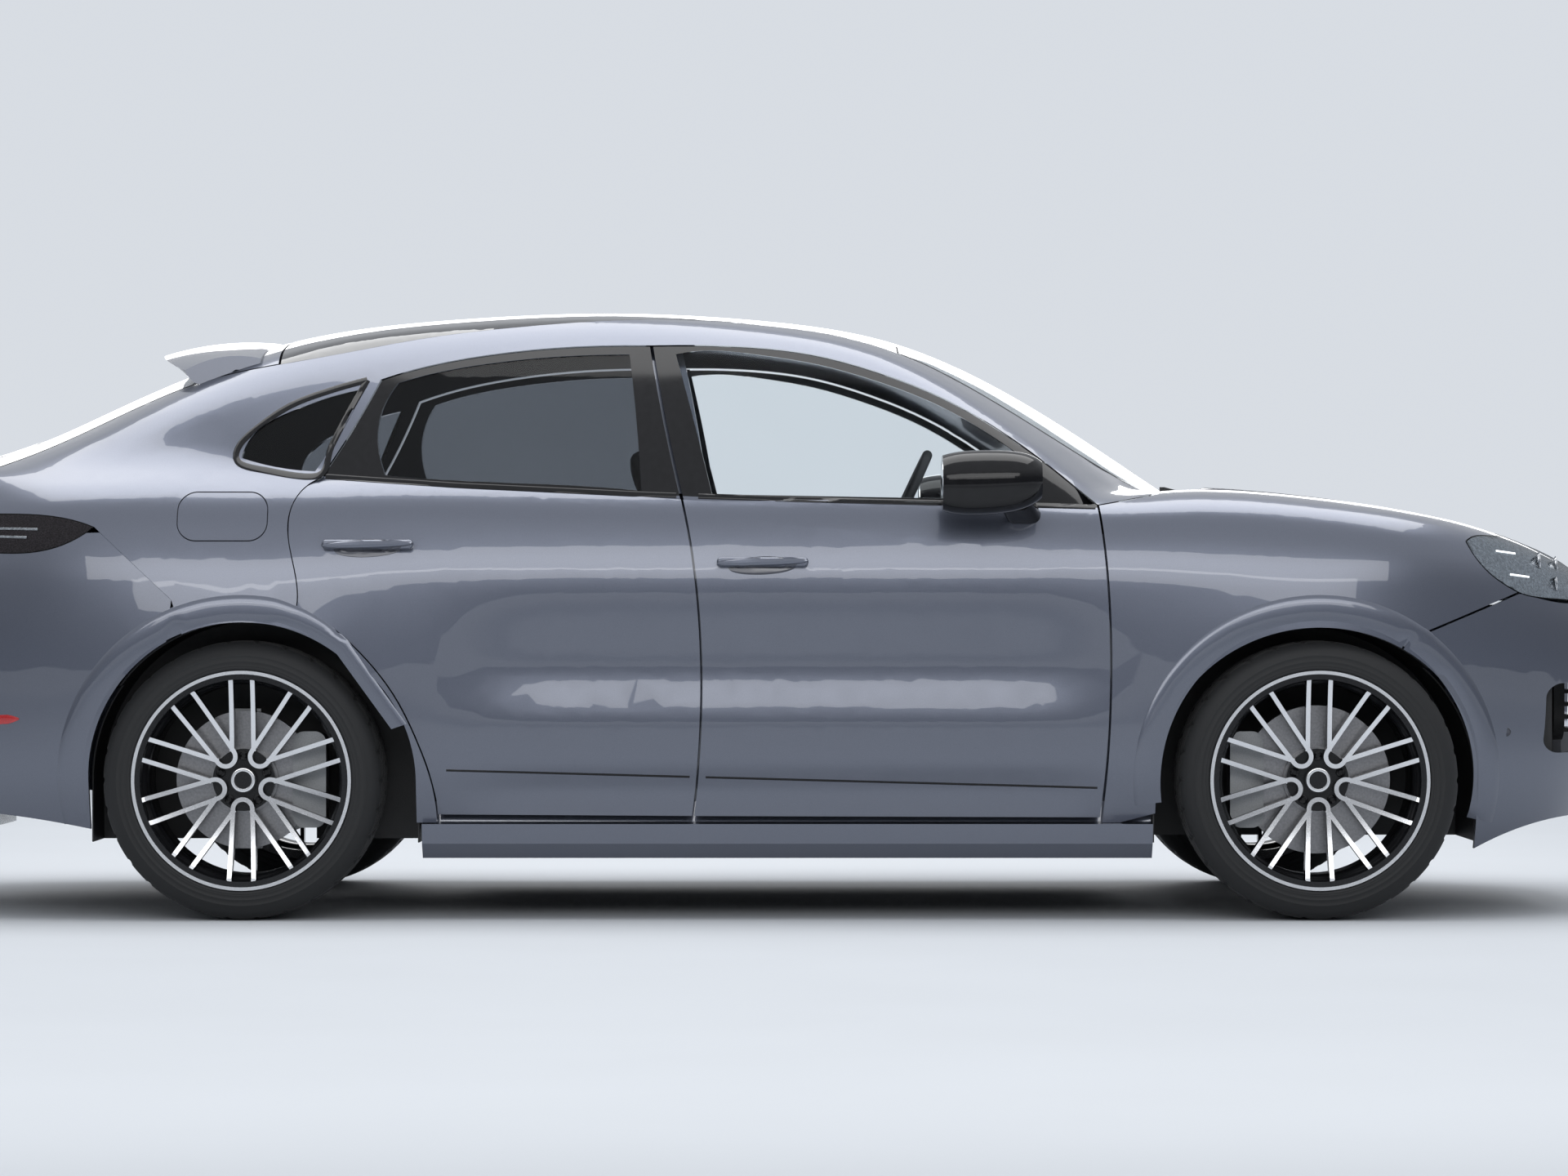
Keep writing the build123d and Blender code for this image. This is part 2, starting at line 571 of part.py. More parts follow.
side_outline = closed(
    ROOF_EDGE,
    [(A + 141, 1152), (A + 60, 1135), (A - 28, BELT - 11)],
    FRONT_WINDOW_TOP,
    REAR_WINDOW_TOP,
    REAR_FRAME,
    ARCH_EDGE,
    ARCH_SWEEP,
    [(R + 521, 280), (R + 521, 261.3)],
    [(R + 521, 261.3), (R, 261.3)],
    [(R, 261.3), (R - 186, 861)],
    [(R - 186, 861), (R - 401, 1058)],
    [(R - 401, 1058), (R - 480, 1082), (R - 688, 1096), (R - 857, 1110)],
)
flap_outline = Pos(R - 55, 1086) * RectangleRounded(245, 136, 52)
FLAP_SKIN = 8
with BuildPart() as body_side:
    add(behind(REAR_SIDE, BODY_SKIN, (0.2, 0.75, -0.45)) & through(side_outline))
    add(through(rear_arch), mode=Mode.SUBTRACT)
    add(through(closed(*QUARTER_WINDOW)), mode=Mode.SUBTRACT)
    add(behind(REAR_SIDE, FLAP_SKIN + 50, (0, 1, 0)).moved(Pos(0, -40, 0)) & through(flap_outline), mode=Mode.SUBTRACT)
    with Locations((A - 500, 0, ROOF - 150)):
        Box(400, 900, 300, mode=Mode.SUBTRACT)
write_pair(body_side.part, "body_side")

# --- roof, windshield and rear glass -------------------------------------------------------------
roof_side = closed(
    ROOF_EDGE,
    [(A + 141, 1152), (A + 400, 1100)],
    [(A + 400, 1100), (A + 400, ROOF + 60)],
    [(A + 400, ROOF + 60), (R - 857, ROOF + 60)],
    [(R - 857, ROOF + 60), (R - 857, 1110)],
)
ROOF_DEPTH = 8
both_sides = extrude(Plane.XZ * shrunk(roof_side, 0.3), amount=REACH, both=True, mode=Mode.PRIVATE)
dome_shell = behind(ROOF_TOP, ROOF_DEPTH, (0, 0, -1))


def across(x0, x1):
    """Everything between two stations along the car."""
    return Pos((x0 + x1) / 2, 0, ROOF / 2) * Box(x1 - x0, 2 * REACH, 2 * ROOF, mode=Mode.PRIVATE)


roof_air = behind(ROOF_TOP, 150, (0, 0, 1))
with BuildPart() as windshield:
    add(behind(ROOF_TOP, 7, (-0.6, 0, -0.8)))
    add(both_sides, mode=Mode.INTERSECT)
    add(across(HEADER + 2, A + 290), mode=Mode.INTERSECT)
write(windshield.part, "windshield")

with BuildPart() as roof_glass:
    add((dome_shell & both_sides) & across(ROOF_REAR + 3, HEADER - 2))
write(roof_glass.part, "roof_glass")

with BuildPart() as roof_frame:
    add(behind(ROOF_TOP, 28, (0, 0, -1)).moved(Pos(0, 0, -ROOF_DEPTH - 2 * SEAT_CLEARANCE)))
    add(both_sides, mode=Mode.INTERSECT)
    header_bows = across(HEADER - 70, HEADER + 40) + across(ROOF_REAR, ROOF_REAR + 110)
    add(header_bows, mode=Mode.INTERSECT)
write(roof_frame.part, "roof_frame")

# --- tail ----------------------------------------------------------------------------------------
GATE_SKIN = 36
GATE_HALF_FOOT = 620
with BuildSketch(mode=Mode.PRIVATE) as gate_rear:
    with BuildLine():
        Polyline((0, 800), (GATE_HALF_FOOT - 60, 800))
        Spline((GATE_HALF_FOOT - 60, 800), (GATE_HALF_FOOT, 850), (GATE_HALF_FOOT + 40, 985))
        Polyline((GATE_HALF_FOOT + 40, 985), (HALF, 1060), (HALF, ROOF + 100), (0, ROOF + 100), (0, 800))
    make_face()
    mirror(about=Plane.YZ)
gate_column = extrude(Plane.YZ * gate_rear.sketch, amount=-NOSE - 200, mode=Mode.PRIVATE)
gate_side = closed(
    ROOF_EDGE,
    [(A + 141, 1152), (A + 141, ROOF + 60)],
    [(A + 141, ROOF + 60), (TAIL - 60, ROOF + 60)],
    [(TAIL - 60, ROOF + 60), (TAIL - 60, 700)],
    [(TAIL - 60, 700), (TAIL + 300, 700)],
    [(TAIL + 300, 700), (R - 857, 1110)],
)
gate_bar = extrude(Plane.XZ * shrunk(gate_side, SHUT_GAP / 2), amount=REACH, both=True, mode=Mode.PRIVATE)
gate_shadow = extrude(Plane.YZ * shrunk(gate_rear.sketch, -SHUT_GAP), amount=-NOSE - 200, mode=Mode.PRIVATE)
gate_hole = gate_shadow & extrude(Plane.XZ * shrunk(gate_side, -SHUT_GAP / 2), amount=REACH, both=True, mode=Mode.PRIVATE)
REAR_GLASS_TOP = ROOF_REAR - 90
REAR_GLASS_FOOT = R - 660
glass_bar = (
    extrude(Plane.XZ * shrunk(gate_side, 45), amount=REACH, both=True, mode=Mode.PRIVATE)
    & across(REAR_GLASS_FOOT, REAR_GLASS_TOP)
)
with BuildPart() as tailgate:
    add(behind(TAIL_END, GATE_SKIN, (0.7, 0, -0.7)))
    add(gate_column, mode=Mode.INTERSECT)
    add(gate_bar, mode=Mode.INTERSECT)
    add(across(TAIL - 60, ROOF_REAR - 4), mode=Mode.INTERSECT)
    add(glass_bar, mode=Mode.SUBTRACT)
write(tailgate.part, "tailgate")

with BuildPart() as rear_window:
    add(behind(TAIL_END, 5, (0.5, 0, -0.86)).moved(Pos(1.5, 0, -2.6)))
    add(
        extrude(Plane.XZ * shrunk(gate_side, 45.3), amount=REACH, both=True, mode=Mode.PRIVATE)
        & across(REAR_GLASS_FOOT + 0.3, REAR_GLASS_TOP - 0.3),
        mode=Mode.INTERSECT,
    )
write(rear_window.part, "rear_window")

rear_bumper_side = closed(
    [(R - 186, 861), (R - 401, 1058)],
    [(R - 401, 1058), (R - 440, 1030), (R - 517, 998), (R - 688, 988), (R - 900, 985)],
    [(R - 900, 985), (TAIL - 60, 985)],
    [(TAIL - 60, 985), (TAIL - 60, 280)],
    [(TAIL - 60, 280), (R - 646, 280), (R - 414, 243)],
    [(R - 414, 243), (R - 250, 300)],
    [(R - 250, 300), (R - 186, 861)],
)
with BuildPart() as rear_bumper:
    add(behind(TAIL_SIDE, BUMPER_SKIN, (0.7, 0.7, 0)) & through(shrunk(rear_bumper_side, 0.6)))
    add(through(rear_arch), mode=Mode.SUBTRACT)
    mirror(about=Plane.XZ)
    add(gate_shadow, mode=Mode.SUBTRACT)
write(rear_bumper.part, "rear_bumper")

lamp_rear_side = closed(
    [(R - 401, 1058), (R - 480, 1082), (R - 688, 1096), (R - 857, 1110)],
    [(R - 857, 1110), (TAIL + 60, 1110)],
    [(TAIL + 60, 1110), (TAIL + 20, 985)],
    [(TAIL + 20, 985), (R - 900, 985)],
    [(R - 900, 985), (R - 688, 988), (R - 517, 998), (R - 440, 1030), (R - 401, 1058)],
)
with BuildPart() as tail_lamps:
    add(behind(TAIL_SIDE, 60, (0.7, 0.7, 0)) & through(shrunk(lamp_rear_side, 0.2)))
    add(gate_hole, mode=Mode.SUBTRACT)
    mirror(about=Plane.XZ)
write(tail_lamps.part, "tail_lamps")

# --- flaps ---------------------------------------------------------------------------------------
with BuildPart() as fuel_flap:
    add(behind(REAR_SIDE, FLAP_SKIN, (0, 1, 0)) & through(shrunk(flap_outline, SHUT_GAP / 2)))
write(fuel_flap.part, "fuel_flap")
write(mirror(fuel_flap.part, about=Plane.XZ), "charge_flap")

# --- under the skin ------------------------------------------------------------------------------
RAIL_Y = 400
FRONT_WELL_INNER = RAIL_Y + 35.3
REAR_WELL_INNER = 640
WELL_OUTER = HALF - 100


def liner(opening, inner):
    """A wheel arch liner: the opening carried inboard, closed by an inner wall."""
    shell = arch(*opening, margin=LINER + 1) - arch(*opening, margin=1)
    with BuildPart() as tub:
        add(extrude(Plane.XZ.offset(inner) * shell, amount=WELL_OUTER - inner, mode=Mode.PRIVATE))
        add(extrude(Plane.XZ.offset(inner) * arch(*opening, margin=LINER), amount=LINER, mode=Mode.PRIVATE))
        with Locations((opening[0], 0, 100)):
            Box(1200, 2 * REACH, 212, mode=Mode.SUBTRACT)
        with Locations((opening[0] + 30, -inner, AXLE - 100)):
            Box(280, 4 * LINER, 340, mode=Mode.SUBTRACT)
    return tub.part


with BuildPart() as wheel_arch_liners:
    add(liner(FRONT_ARCH, FRONT_WELL_INNER))
    add(liner(REAR_ARCH, REAR_WELL_INNER))
    with Locations((F + 400, -HALF + 90, 390), (R - 400, -HALF + 30, 300)):
        Box(200, 240, 660, mode=Mode.SUBTRACT)
    mirror(about=Plane.XZ)
write(wheel_arch_liners.part, "wheel_arch_liners")

SILL_HEIGHT = 262
FLOOR_TOP = 215
FLOOR_DEPTH = 20
FLOOR_HALF = HALF - 165
BOOT_FLOOR = 640
BOOT_HALF = REAR_WELL_INNER - SEAT_CLEARANCE
with BuildSketch(mode=Mode.PRIVATE) as sill_profile:
    with BuildLine():
        Polyline((-FLOOR_HALF, 195), (-HALF + 90, 165), (-HALF + 58, 205), (-HALF + 50, SILL_HEIGHT - 4),
                 (-HALF + 130, SILL_HEIGHT), (-HALF + 140, 316), (-FLOOR_HALF, 316), (-FLOOR_HALF, 195))
    make_face()
SILL_FRONT = F - 446
SILL_REAR = R + 482
PILLAR_SKIN = 30
with BuildPart() as sill:
    add(extrude(Plane.YZ.offset(SILL_REAR) * sill_profile.sketch, amount=SILL_FRONT - SILL_REAR, mode=Mode.PRIVATE))
hinge_pillar = closed(
    [(A - 30, 310), (A + 75, 310)],
    [(A + 75, 310), (A + 75, BELT - 90)],
    [(A + 75, BELT - 90), (A - 60, BELT - 90)],
    [(A - 60, BELT - 90), (A - 30, 310)],
)
centre_pillar = closed(
    [(B - 80, 310), (B + 60, 310)],
    [(B + 60, 310), (B + 20, BELT), (B - 60, ROOF - 123.5)],
    [(B - 60, ROOF - 123.5), (B - 190, ROOF - 123.5)],
    [(B - 190, ROOF - 123.5), (B - 130, BELT), (B - 80, 310)],
)
under_belt = Pos(0, BELT / 2 + 40) * Rectangle(2 * NOSE, BELT)
over_belt = Pos(0, ROOF + 20) * Rectangle(2 * NOSE, 2 * (ROOF - BELT))
with BuildPart() as body_frame:
    add(sill.part)
    lower_wall = behind(SIDE, PILLAR_SKIN, INWARD).moved(Pos(0, PILLAR_INSET, 0))
    upper_wall = behind(DOME, PILLAR_SKIN + 20, INWARD).moved(Pos(0, FRAME_DEPTH + 8, 0))
    below, above = [centre_pillar & belt_side for belt_side in (under_belt, over_belt)]
    add(lower_wall & through(below + hinge_pillar))
    add(upper_wall & through(above))
write_pair(body_frame.part, "body_frame")

with BuildPart() as floor_pan:
    with BuildSketch(Plane.XZ) as floor_line:
        with BuildLine():
            Polyline((A + 190, 1060), (A + 110, 640), (A - 60, FLOOR_TOP), (R + 620, FLOOR_TOP), (R + 400, 430),
                     (R + 180, BOOT_FLOOR), (TAIL + 140, BOOT_FLOOR), (TAIL + 140, BOOT_FLOOR - FLOOR_DEPTH),
                     (R + 170, BOOT_FLOOR - FLOOR_DEPTH), (R + 385, 415), (R + 605, FLOOR_TOP - FLOOR_DEPTH),
                     (A - 52, FLOOR_TOP - FLOOR_DEPTH), (A + 130, 636), (A + 210, 1060), (A + 190, 1060))
        make_face()
    extrude(amount=FLOOR_HALF - SEAT_CLEARANCE, both=True)
    with Locations((F, 0, AXLE), (F, 0, 1000)):
        Box(900, 2 * REACH, 400, mode=Mode.SUBTRACT)
    with Locations((R - 315, -REACH / 2 - BOOT_HALF, 500), (R - 315, REACH / 2 + BOOT_HALF, 500)):
        Box(1600, REACH, 800, mode=Mode.SUBTRACT)
    with Locations((A + 100, -REACH / 2 - 700, 775), (A + 100, REACH / 2 + 700, 775)):
        Box(400, REACH, 1100, mode=Mode.SUBTRACT)
write(floor_pan.part, "floor_pan")

with BuildPart() as front_structure:
    with Locations((A + 700, -RAIL_Y, 500), (A + 700, RAIL_Y, 500)):
        Box(1120, 70, 120)
    with Locations((GRILLE_PLANE - 105, 0, 500)):
        Box(60, 1085.4, 130)
    with Locations((GRILLE_PLANE - 35 - SEAT_CLEARANCE, 0, 560)):
        Box(70, 740, 420)
    with Locations((F - 20, -323, 500), (F - 20, 323, 500)):
        Box(80, 86 - 2 * SEAT_CLEARANCE, 40)
write(front_structure.part, "front_structure")

with BuildPart() as engine_block:
    with Locations((F - 20, 0, 620)):
        Box(640, 560, 420)
    fillet(engine_block.edges(), 30)
write(engine_block.part, "engine_block")

with BuildPart() as front_subframe:
    with Locations((F - 20, 0, 300)):
        Box(360, 860, 70)
    with Locations((F - 180, 0, 345), (F + 130, 0, 345)):
        Box(60, 700, 30)
    with Locations((F - 20, -RAIL_Y, 387), (F - 20, RAIL_Y, 387)):
        Box(120, 60, 105)
write(front_subframe.part, "front_subframe")

with BuildPart() as exhaust:
    with Locations((TAIL + 300, -560, 320), (TAIL + 300, 560, 320)):
        Box(260, 260, 150)
    with Locations((TAIL + 300, -560, 504.7), (TAIL + 300, 560, 504.7)):
        Box(30, 30, 230)
    with Locations(Location((TAIL + 190, -560, 300), (0, 90, 0)), Location((TAIL + 190, 560, 300), (0, 90, 0))):
        Cylinder(42, 130)
        Cylinder(36, 140, mode=Mode.SUBTRACT)
write(exhaust.part, "exhaust")

# --- cabin ---------------------------------------------------------------------------------------
with BuildPart() as dashboard:
    with BuildSketch(Plane.XZ):
        with BuildLine():
            Polyline((A + 130, 1095), (A - 60, 1110), (A - 260, 1085))
            Spline((A - 260, 1085), (A - 330, 1000), (A - 300, 850))
            Polyline((A - 300, 850), (A - 150, 700), (A + 120.8, 700), (A + 130, 1095))
        make_face()
    extrude(amount=HALF - 260, both=True)
write(dashboard.part, "dashboard")


def seat_side(heel, back_top, lean):
    """The side outline of a seat, from its front edge to the head of its backrest."""
    with BuildSketch(mode=Mode.PRIVATE) as sketch:
        with BuildLine():
            Polyline((heel + 500, 480), (heel + 520, 620), (heel + 470, 640), (heel + 90, 600),
                     (heel - lean + 90, back_top), (heel - lean - 30, back_top), (heel - 60, 560),
                     (heel - 20, 480), (heel + 500, 480))
        make_face()
        fillet(sketch.vertices(), 25)
    return sketch.sketch


SEAT_Y = 370
with BuildPart() as front_seats:
    profile = seat_side(B + 20, 1130, 190)
    add(extrude(Plane.XZ.offset(SEAT_Y - 260) * profile, amount=520, mode=Mode.PRIVATE))
    with Locations((B - 190, -SEAT_Y, 1210)):
        Box(90, 270, 170)
    with Locations((B + 250, -SEAT_Y, FLOOR_TOP + SEAT_CLEARANCE + 135)):
        Box(380, 420, 270)
    mirror(about=Plane.XZ)
write(front_seats.part, "front_seats")

with BuildPart() as rear_seat:
    profile = seat_side(R + 440, 1110, 230)
    add(extrude(Plane.XZ.offset(-620) * profile, amount=1240, mode=Mode.PRIVATE))
    with Locations((R + 790, 0, FLOOR_TOP + SEAT_CLEARANCE + 135)):
        Box(260, 1160, 270)
write(rear_seat.part, "rear_seat")

WHEEL_HUB = (A - 528, SEAT_Y, 1130)
STEERING_LEAN = 25
STEERING_RADIUS = 182
steering_plane = Plane(origin=WHEEL_HUB, x_dir=(0, 1, 0), z_dir=(-np.cos(np.radians(STEERING_LEAN)), 0, np.sin(np.radians(STEERING_LEAN))))
with BuildPart() as steering_wheel:
    with BuildSketch(Plane(origin=steering_plane.origin, x_dir=steering_plane.z_dir, z_dir=steering_plane.y_dir)):
        with Locations((0, STEERING_RADIUS)):
            Circle(15)
    revolve(axis=Axis(steering_plane.origin, steering_plane.z_dir))
    with BuildSketch(steering_plane):
        Circle(75)
        Rectangle(2 * STEERING_RADIUS, 40)
        with Locations((0, -STEERING_RADIUS / 2)):
            Rectangle(50, STEERING_RADIUS)
    extrude(amount=12, both=True)
    with BuildSketch(steering_plane.offset(-12)):
        Circle(30)
    extrude(amount=-150)
write(steering_wheel.part, "steering_wheel")

# --- outside fittings ----------------------------------------------------------------------------
MIRROR_Y = -HALF - 60
MIRROR_SECTIONS = [
    (A - 455, 196, 146, 1172), (A - 430, 214, 160, 1172), (A - 330, 226, 170, 1174),
    (A - 240, 198, 148, 1178), (A - 190, 130, 96, 1181),
]
with BuildPart() as door_mirror:
    for x, width, height, z in MIRROR_SECTIONS:
        with BuildSketch(Plane.YZ.offset(x)):
            with Locations((MIRROR_Y, z)):
                RectangleRounded(width, height, 0.46 * height)
    loft()
    with BuildSketch(Plane.XZ.offset(HALF - 110)):
        with Locations((A - 220, 1075)):
            RectangleRounded(90, 50, 20)
    with BuildSketch(Plane.XZ.offset(HALF + 20)):
        with Locations((A - 260, 1130)):
            RectangleRounded(90, 60, 28)
    loft()
    add(behind(SIDE, REACH / 2, INWARD).moved(Pos(0, -SEAT_CLEARANCE, 0)), mode=Mode.SUBTRACT)
write_pair(door_mirror.part, "door_mirror")

COWL_HEIGHT = 1092
with BuildPart() as cowl:
    with BuildSketch(Plane.XY.offset(COWL_HEIGHT - 12)):
        with BuildLine():
            Spline((A + 190, -HALF + 262), (A + 330, -HALF + 580), (A + 372, 0))
            Polyline((A + 372, 0), (A + 270, 0))
            Spline((A + 270, 0), (A + 215, -HALF + 580), (A + 150, -HALF + 302))
            Polyline((A + 150, -HALF + 302), (A + 130, -HALF + 302), (A + 130, -HALF + 262), (A + 190, -HALF + 262))
        make_face()
        mirror(about=Plane.XZ)
    extrude(amount=12)
write(cowl.part, "cowl")

with BuildPart() as wipers:
    for root, tip in (((A + 240, 380, 1156.7), (A + 262, -250, 1160.7)), ((A + 252, -200, 1164), (A + 165, -640, 1166))):
        with BuildLine():
            Line(root, tip)
        with BuildSketch(Plane(origin=root, z_dir=Vector(*tip) - Vector(*root))):
            Rectangle(14, 14)
        sweep()
write(wipers.part, "wipers")

SPOILER_HALF = 600
SPOILER_DROP = 70


def wing_section(reach):
    """The spoiler's side-view section at a distance from the middle of the car."""
    share = reach / SPOILER_HALF
    drop = SPOILER_DROP * share**2
    tip = R - 309 + 110 * share**3
    with BuildSketch(Plane.XZ.offset(reach), mode=Mode.PRIVATE) as section:
        with BuildLine():
            Spline((R + 10, ROOF - 83 - drop), (R - 102, ROOF - 80 - drop), (tip, ROOF - 116 - drop))
            Spline((tip, ROOF - 116 - drop), (R - 190, ROOF - 134 - drop), (R - 60, ROOF - 114 - drop))
            Polyline((R - 60, ROOF - 114 - drop), (R + 10, ROOF - 116 - drop), (R + 10, ROOF - 83 - drop))
        make_face()
    return section.sketch


with BuildPart() as rear_spoiler:
    loft([wing_section(reach) for reach in (0, 200, 400, SPOILER_HALF)])
    add(roof_air.moved(Pos(0, 0, SEAT_CLEARANCE)), mode=Mode.INTERSECT)
    mirror(about=Plane.XZ)
write(rear_spoiler.part, "rear_spoiler")

# --- running gear --------------------------------------------------------------------------------
# Wheels are modelled with their axle along +Z and their outer face up, then turned onto the car.
SIDEWALL = TYRE_WIDTH / 2
RIM_HALF = SIDEWALL - 4
BEAD = RIM_RADIUS + SEAT_CLEARANCE
BEAD_FACE = RIM_HALF - 10
HUB_FACE = 50
HUB_RADIUS = 84
CAP_RADIUS = 36
SPOKE_WIDTH = 12
FORK_SPREAD = 26
BOLT_SPREAD = 29
SPOKE_DEPTH = 34
with BuildPart() as tyre:
    with BuildSketch(Plane.XZ):
        with BuildLine():
            Polyline(
                (BEAD, SIDEWALL - 30), (BEAD, BEAD_FACE), (BEAD + RIM_FLANGE + 1, BEAD_FACE + 2),
                (BEAD + RIM_FLANGE + 1, SIDEWALL - 4),
            )
            Spline((BEAD + RIM_FLANGE + 1, SIDEWALL - 4), (BEAD + 45, SIDEWALL + 1), (TYRE_RADIUS - 26, SIDEWALL - 8),
                   (TYRE_RADIUS - 3, SIDEWALL - 34))
            Spline((TYRE_RADIUS - 3, SIDEWALL - 34), (TYRE_RADIUS, 0), (TYRE_RADIUS - 3, 34 - SIDEWALL))
            Spline((TYRE_RADIUS - 3, 34 - SIDEWALL), (TYRE_RADIUS - 26, 8 - SIDEWALL), (BEAD + 45, -SIDEWALL - 1),
                   (BEAD + RIM_FLANGE + 1, 4 - SIDEWALL))
            Polyline(
                (BEAD + RIM_FLANGE + 1, 4 - SIDEWALL), (BEAD + RIM_FLANGE + 1, -BEAD_FACE - 2), (BEAD, -BEAD_FACE),
                (BEAD, 30 - SIDEWALL),
            )
            Spline((BEAD, 30 - SIDEWALL), (BEAD + 45, 16 - SIDEWALL), (TYRE_RADIUS - 30, 24 - SIDEWALL),
                   (TYRE_RADIUS - 16, 50 - SIDEWALL))
            Line((TYRE_RADIUS - 16, 50 - SIDEWALL), (TYRE_RADIUS - 16, SIDEWALL - 50))
            Spline((TYRE_RADIUS - 16, SIDEWALL - 50), (TYRE_RADIUS - 30, SIDEWALL - 24), (BEAD + 45, SIDEWALL - 16),
                   (BEAD, SIDEWALL - 30))
        make_face()
    revolve(axis=Axis.Z)



def spoke(angle, start, offset, flare):
    """One spoke in the wheel's plane, running out along an angle, off to one side of it."""
    end = RIM_RADIUS - 12
    half = SPOKE_WIDTH / 2
    with BuildSketch(mode=Mode.PRIVATE) as bar:
        with BuildLine():
            Polyline((start, offset - half), (end, offset + flare - half), (end, offset + flare + half),
                     (start, offset + half), (start, offset - half))
        make_face()
    return Rot(0, 0, angle) * bar.sketch


def spoke_pattern():
    """Five forks, each joined to the pair of spokes that run either side of the wheel bolts."""
    pattern = Sketch()
    for fork in range(BOLT_COUNT):
        angle = -90 + 360 / BOLT_COUNT * fork
        for side in (-1, 1):
            pattern += spoke(angle, 76, side * FORK_SPREAD, side * 7)
            pattern += spoke(angle + side * 180 / BOLT_COUNT, 78, -side * BOLT_SPREAD, 0)
        with BuildSketch(mode=Mode.PRIVATE) as bend:
            with Locations((78, 0)):
                Circle(FORK_SPREAD + SPOKE_WIDTH / 2)
                Circle(FORK_SPREAD - SPOKE_WIDTH / 2, mode=Mode.SUBTRACT)
            with Locations((128, 0)):
                Rectangle(100, 100, mode=Mode.SUBTRACT)
        pattern += Rot(0, 0, angle) * bend.sketch
    return pattern


with BuildPart() as spokes:
    with BuildSketch(Plane.XZ):
        with BuildLine():
            Spline((20, 96), (120, 101), (220, 116), (RIM_RADIUS - 10, 129))
            Line((RIM_RADIUS - 10, 129), (RIM_RADIUS - 10, 129 - SPOKE_DEPTH))
            Spline((RIM_RADIUS - 10, 129 - SPOKE_DEPTH), (220, 76), (120, 58), (20, HUB_FACE))
            Line((20, HUB_FACE), (20, 96))
        make_face()
    revolve(axis=Axis.Z)
    add(extrude(spoke_pattern(), amount=TYRE_WIDTH, mode=Mode.PRIVATE), mode=Mode.INTERSECT)

with BuildPart() as rim:
    with BuildSketch(Plane.XZ):
        with BuildLine():
            Polyline(
                (RIM_RADIUS + RIM_FLANGE, -RIM_HALF), (RIM_RADIUS + RIM_FLANGE, -RIM_HALF + 4),
                (RIM_RADIUS, -RIM_HALF + 8), (RIM_RADIUS, -RIM_HALF + 40), (RIM_RADIUS - 14, -RIM_HALF + 60),
                (RIM_RADIUS - 14, RIM_HALF - 60), (RIM_RADIUS, RIM_HALF - 40), (RIM_RADIUS, RIM_HALF - 8),
                (RIM_RADIUS + RIM_FLANGE, RIM_HALF - 4), (RIM_RADIUS + RIM_FLANGE, RIM_HALF), (RIM_RADIUS - 8, RIM_HALF),
                (RIM_RADIUS - 8, RIM_HALF - 36), (RIM_RADIUS - 22, RIM_HALF - 60), (RIM_RADIUS - 22, -RIM_HALF + 60),
                (RIM_RADIUS - 8, -RIM_HALF + 36), (RIM_RADIUS - 8, -RIM_HALF), (RIM_RADIUS + RIM_FLANGE, -RIM_HALF),
            )
        make_face()
    revolve(axis=Axis.Z)
    add(spokes)
    with BuildSketch(Plane.XY.offset(HUB_FACE)):
        Circle(HUB_RADIUS)
    extrude(amount=22)
    with BuildSketch(Plane.XY.offset(HUB_FACE)):
        Circle(CAP_RADIUS)
    extrude(amount=40)
    with Locations((0, 0, HUB_FACE)):
        with PolarLocations(BOLT_CIRCLE / 2, BOLT_COUNT, start_angle=90):
            Cylinder(BOLT_HOLE_RADIUS, 60, align=(Align.CENTER, Align.CENTER, Align.MIN), mode=Mode.SUBTRACT)


def disc(radius):
    with BuildPart() as rotor:
        Cylinder(radius, DISC_THICKNESS, align=(Align.CENTER, Align.CENTER, Align.MIN))
        Cylinder(90, HUB_FACE, align=(Align.CENTER, Align.CENTER, Align.MIN))
        Cylinder(78, HUB_FACE - 10, align=(Align.CENTER, Align.CENTER, Align.MIN), mode=Mode.SUBTRACT)
        Cylinder(SPINDLE_RADIUS + RUNNING_CLEARANCE, HUB_FACE, align=(Align.CENTER, Align.CENTER, Align.MIN), mode=Mode.SUBTRACT)
    return rotor.part


def caliper(radius, turn):
    """A brake caliper straddling the disc, at a turn about the axle."""
    with BuildPart() as body:
        with BuildSketch(Plane.XY.offset(-34)):
            with Locations(Rotation(0, 0, turn)):
                with Locations((radius - 12, 0)):
                    RectangleRounded(90, 260, 30)
        extrude(amount=34 + HUB_FACE - 6)
        Cylinder(RIM_RADIUS - 28, 4 * HUB_FACE, mode=Mode.INTERSECT)
        with Locations((0, 0, -4)):
            Cylinder(radius + 4, DISC_THICKNESS + 12, align=(Align.CENTER, Align.CENTER, Align.MIN), mode=Mode.SUBTRACT)
    return body.part


def knuckle(radius, turn):
    with BuildPart() as upright:
        Cylinder(SPINDLE_RADIUS, HUB_FACE - 2, align=(Align.CENTER, Align.CENTER, Align.MIN))
        with Locations((0, 0, -70)):
            Cylinder(70, 62, align=(Align.CENTER, Align.CENTER, Align.MIN))
            Cylinder(30, 72, align=(Align.CENTER, Align.CENTER, Align.MIN))
        with Locations((0, 0, -70)):
            Box(70, 380, 40, align=(Align.CENTER, Align.CENTER, Align.MIN))
        add(caliper(radius, turn))
        with BuildSketch(Plane.XY.offset(-34)):
            with Locations(Rotation(0, 0, turn)):
                with Locations((radius / 2, 0)):
                    Rectangle(radius, 60)
        extrude(amount=28)
    return upright.part


def on_right(part, axle):
    return Pos(axle, -TRACK / 2, AXLE) * (Rot(90, 0, 0) * part)


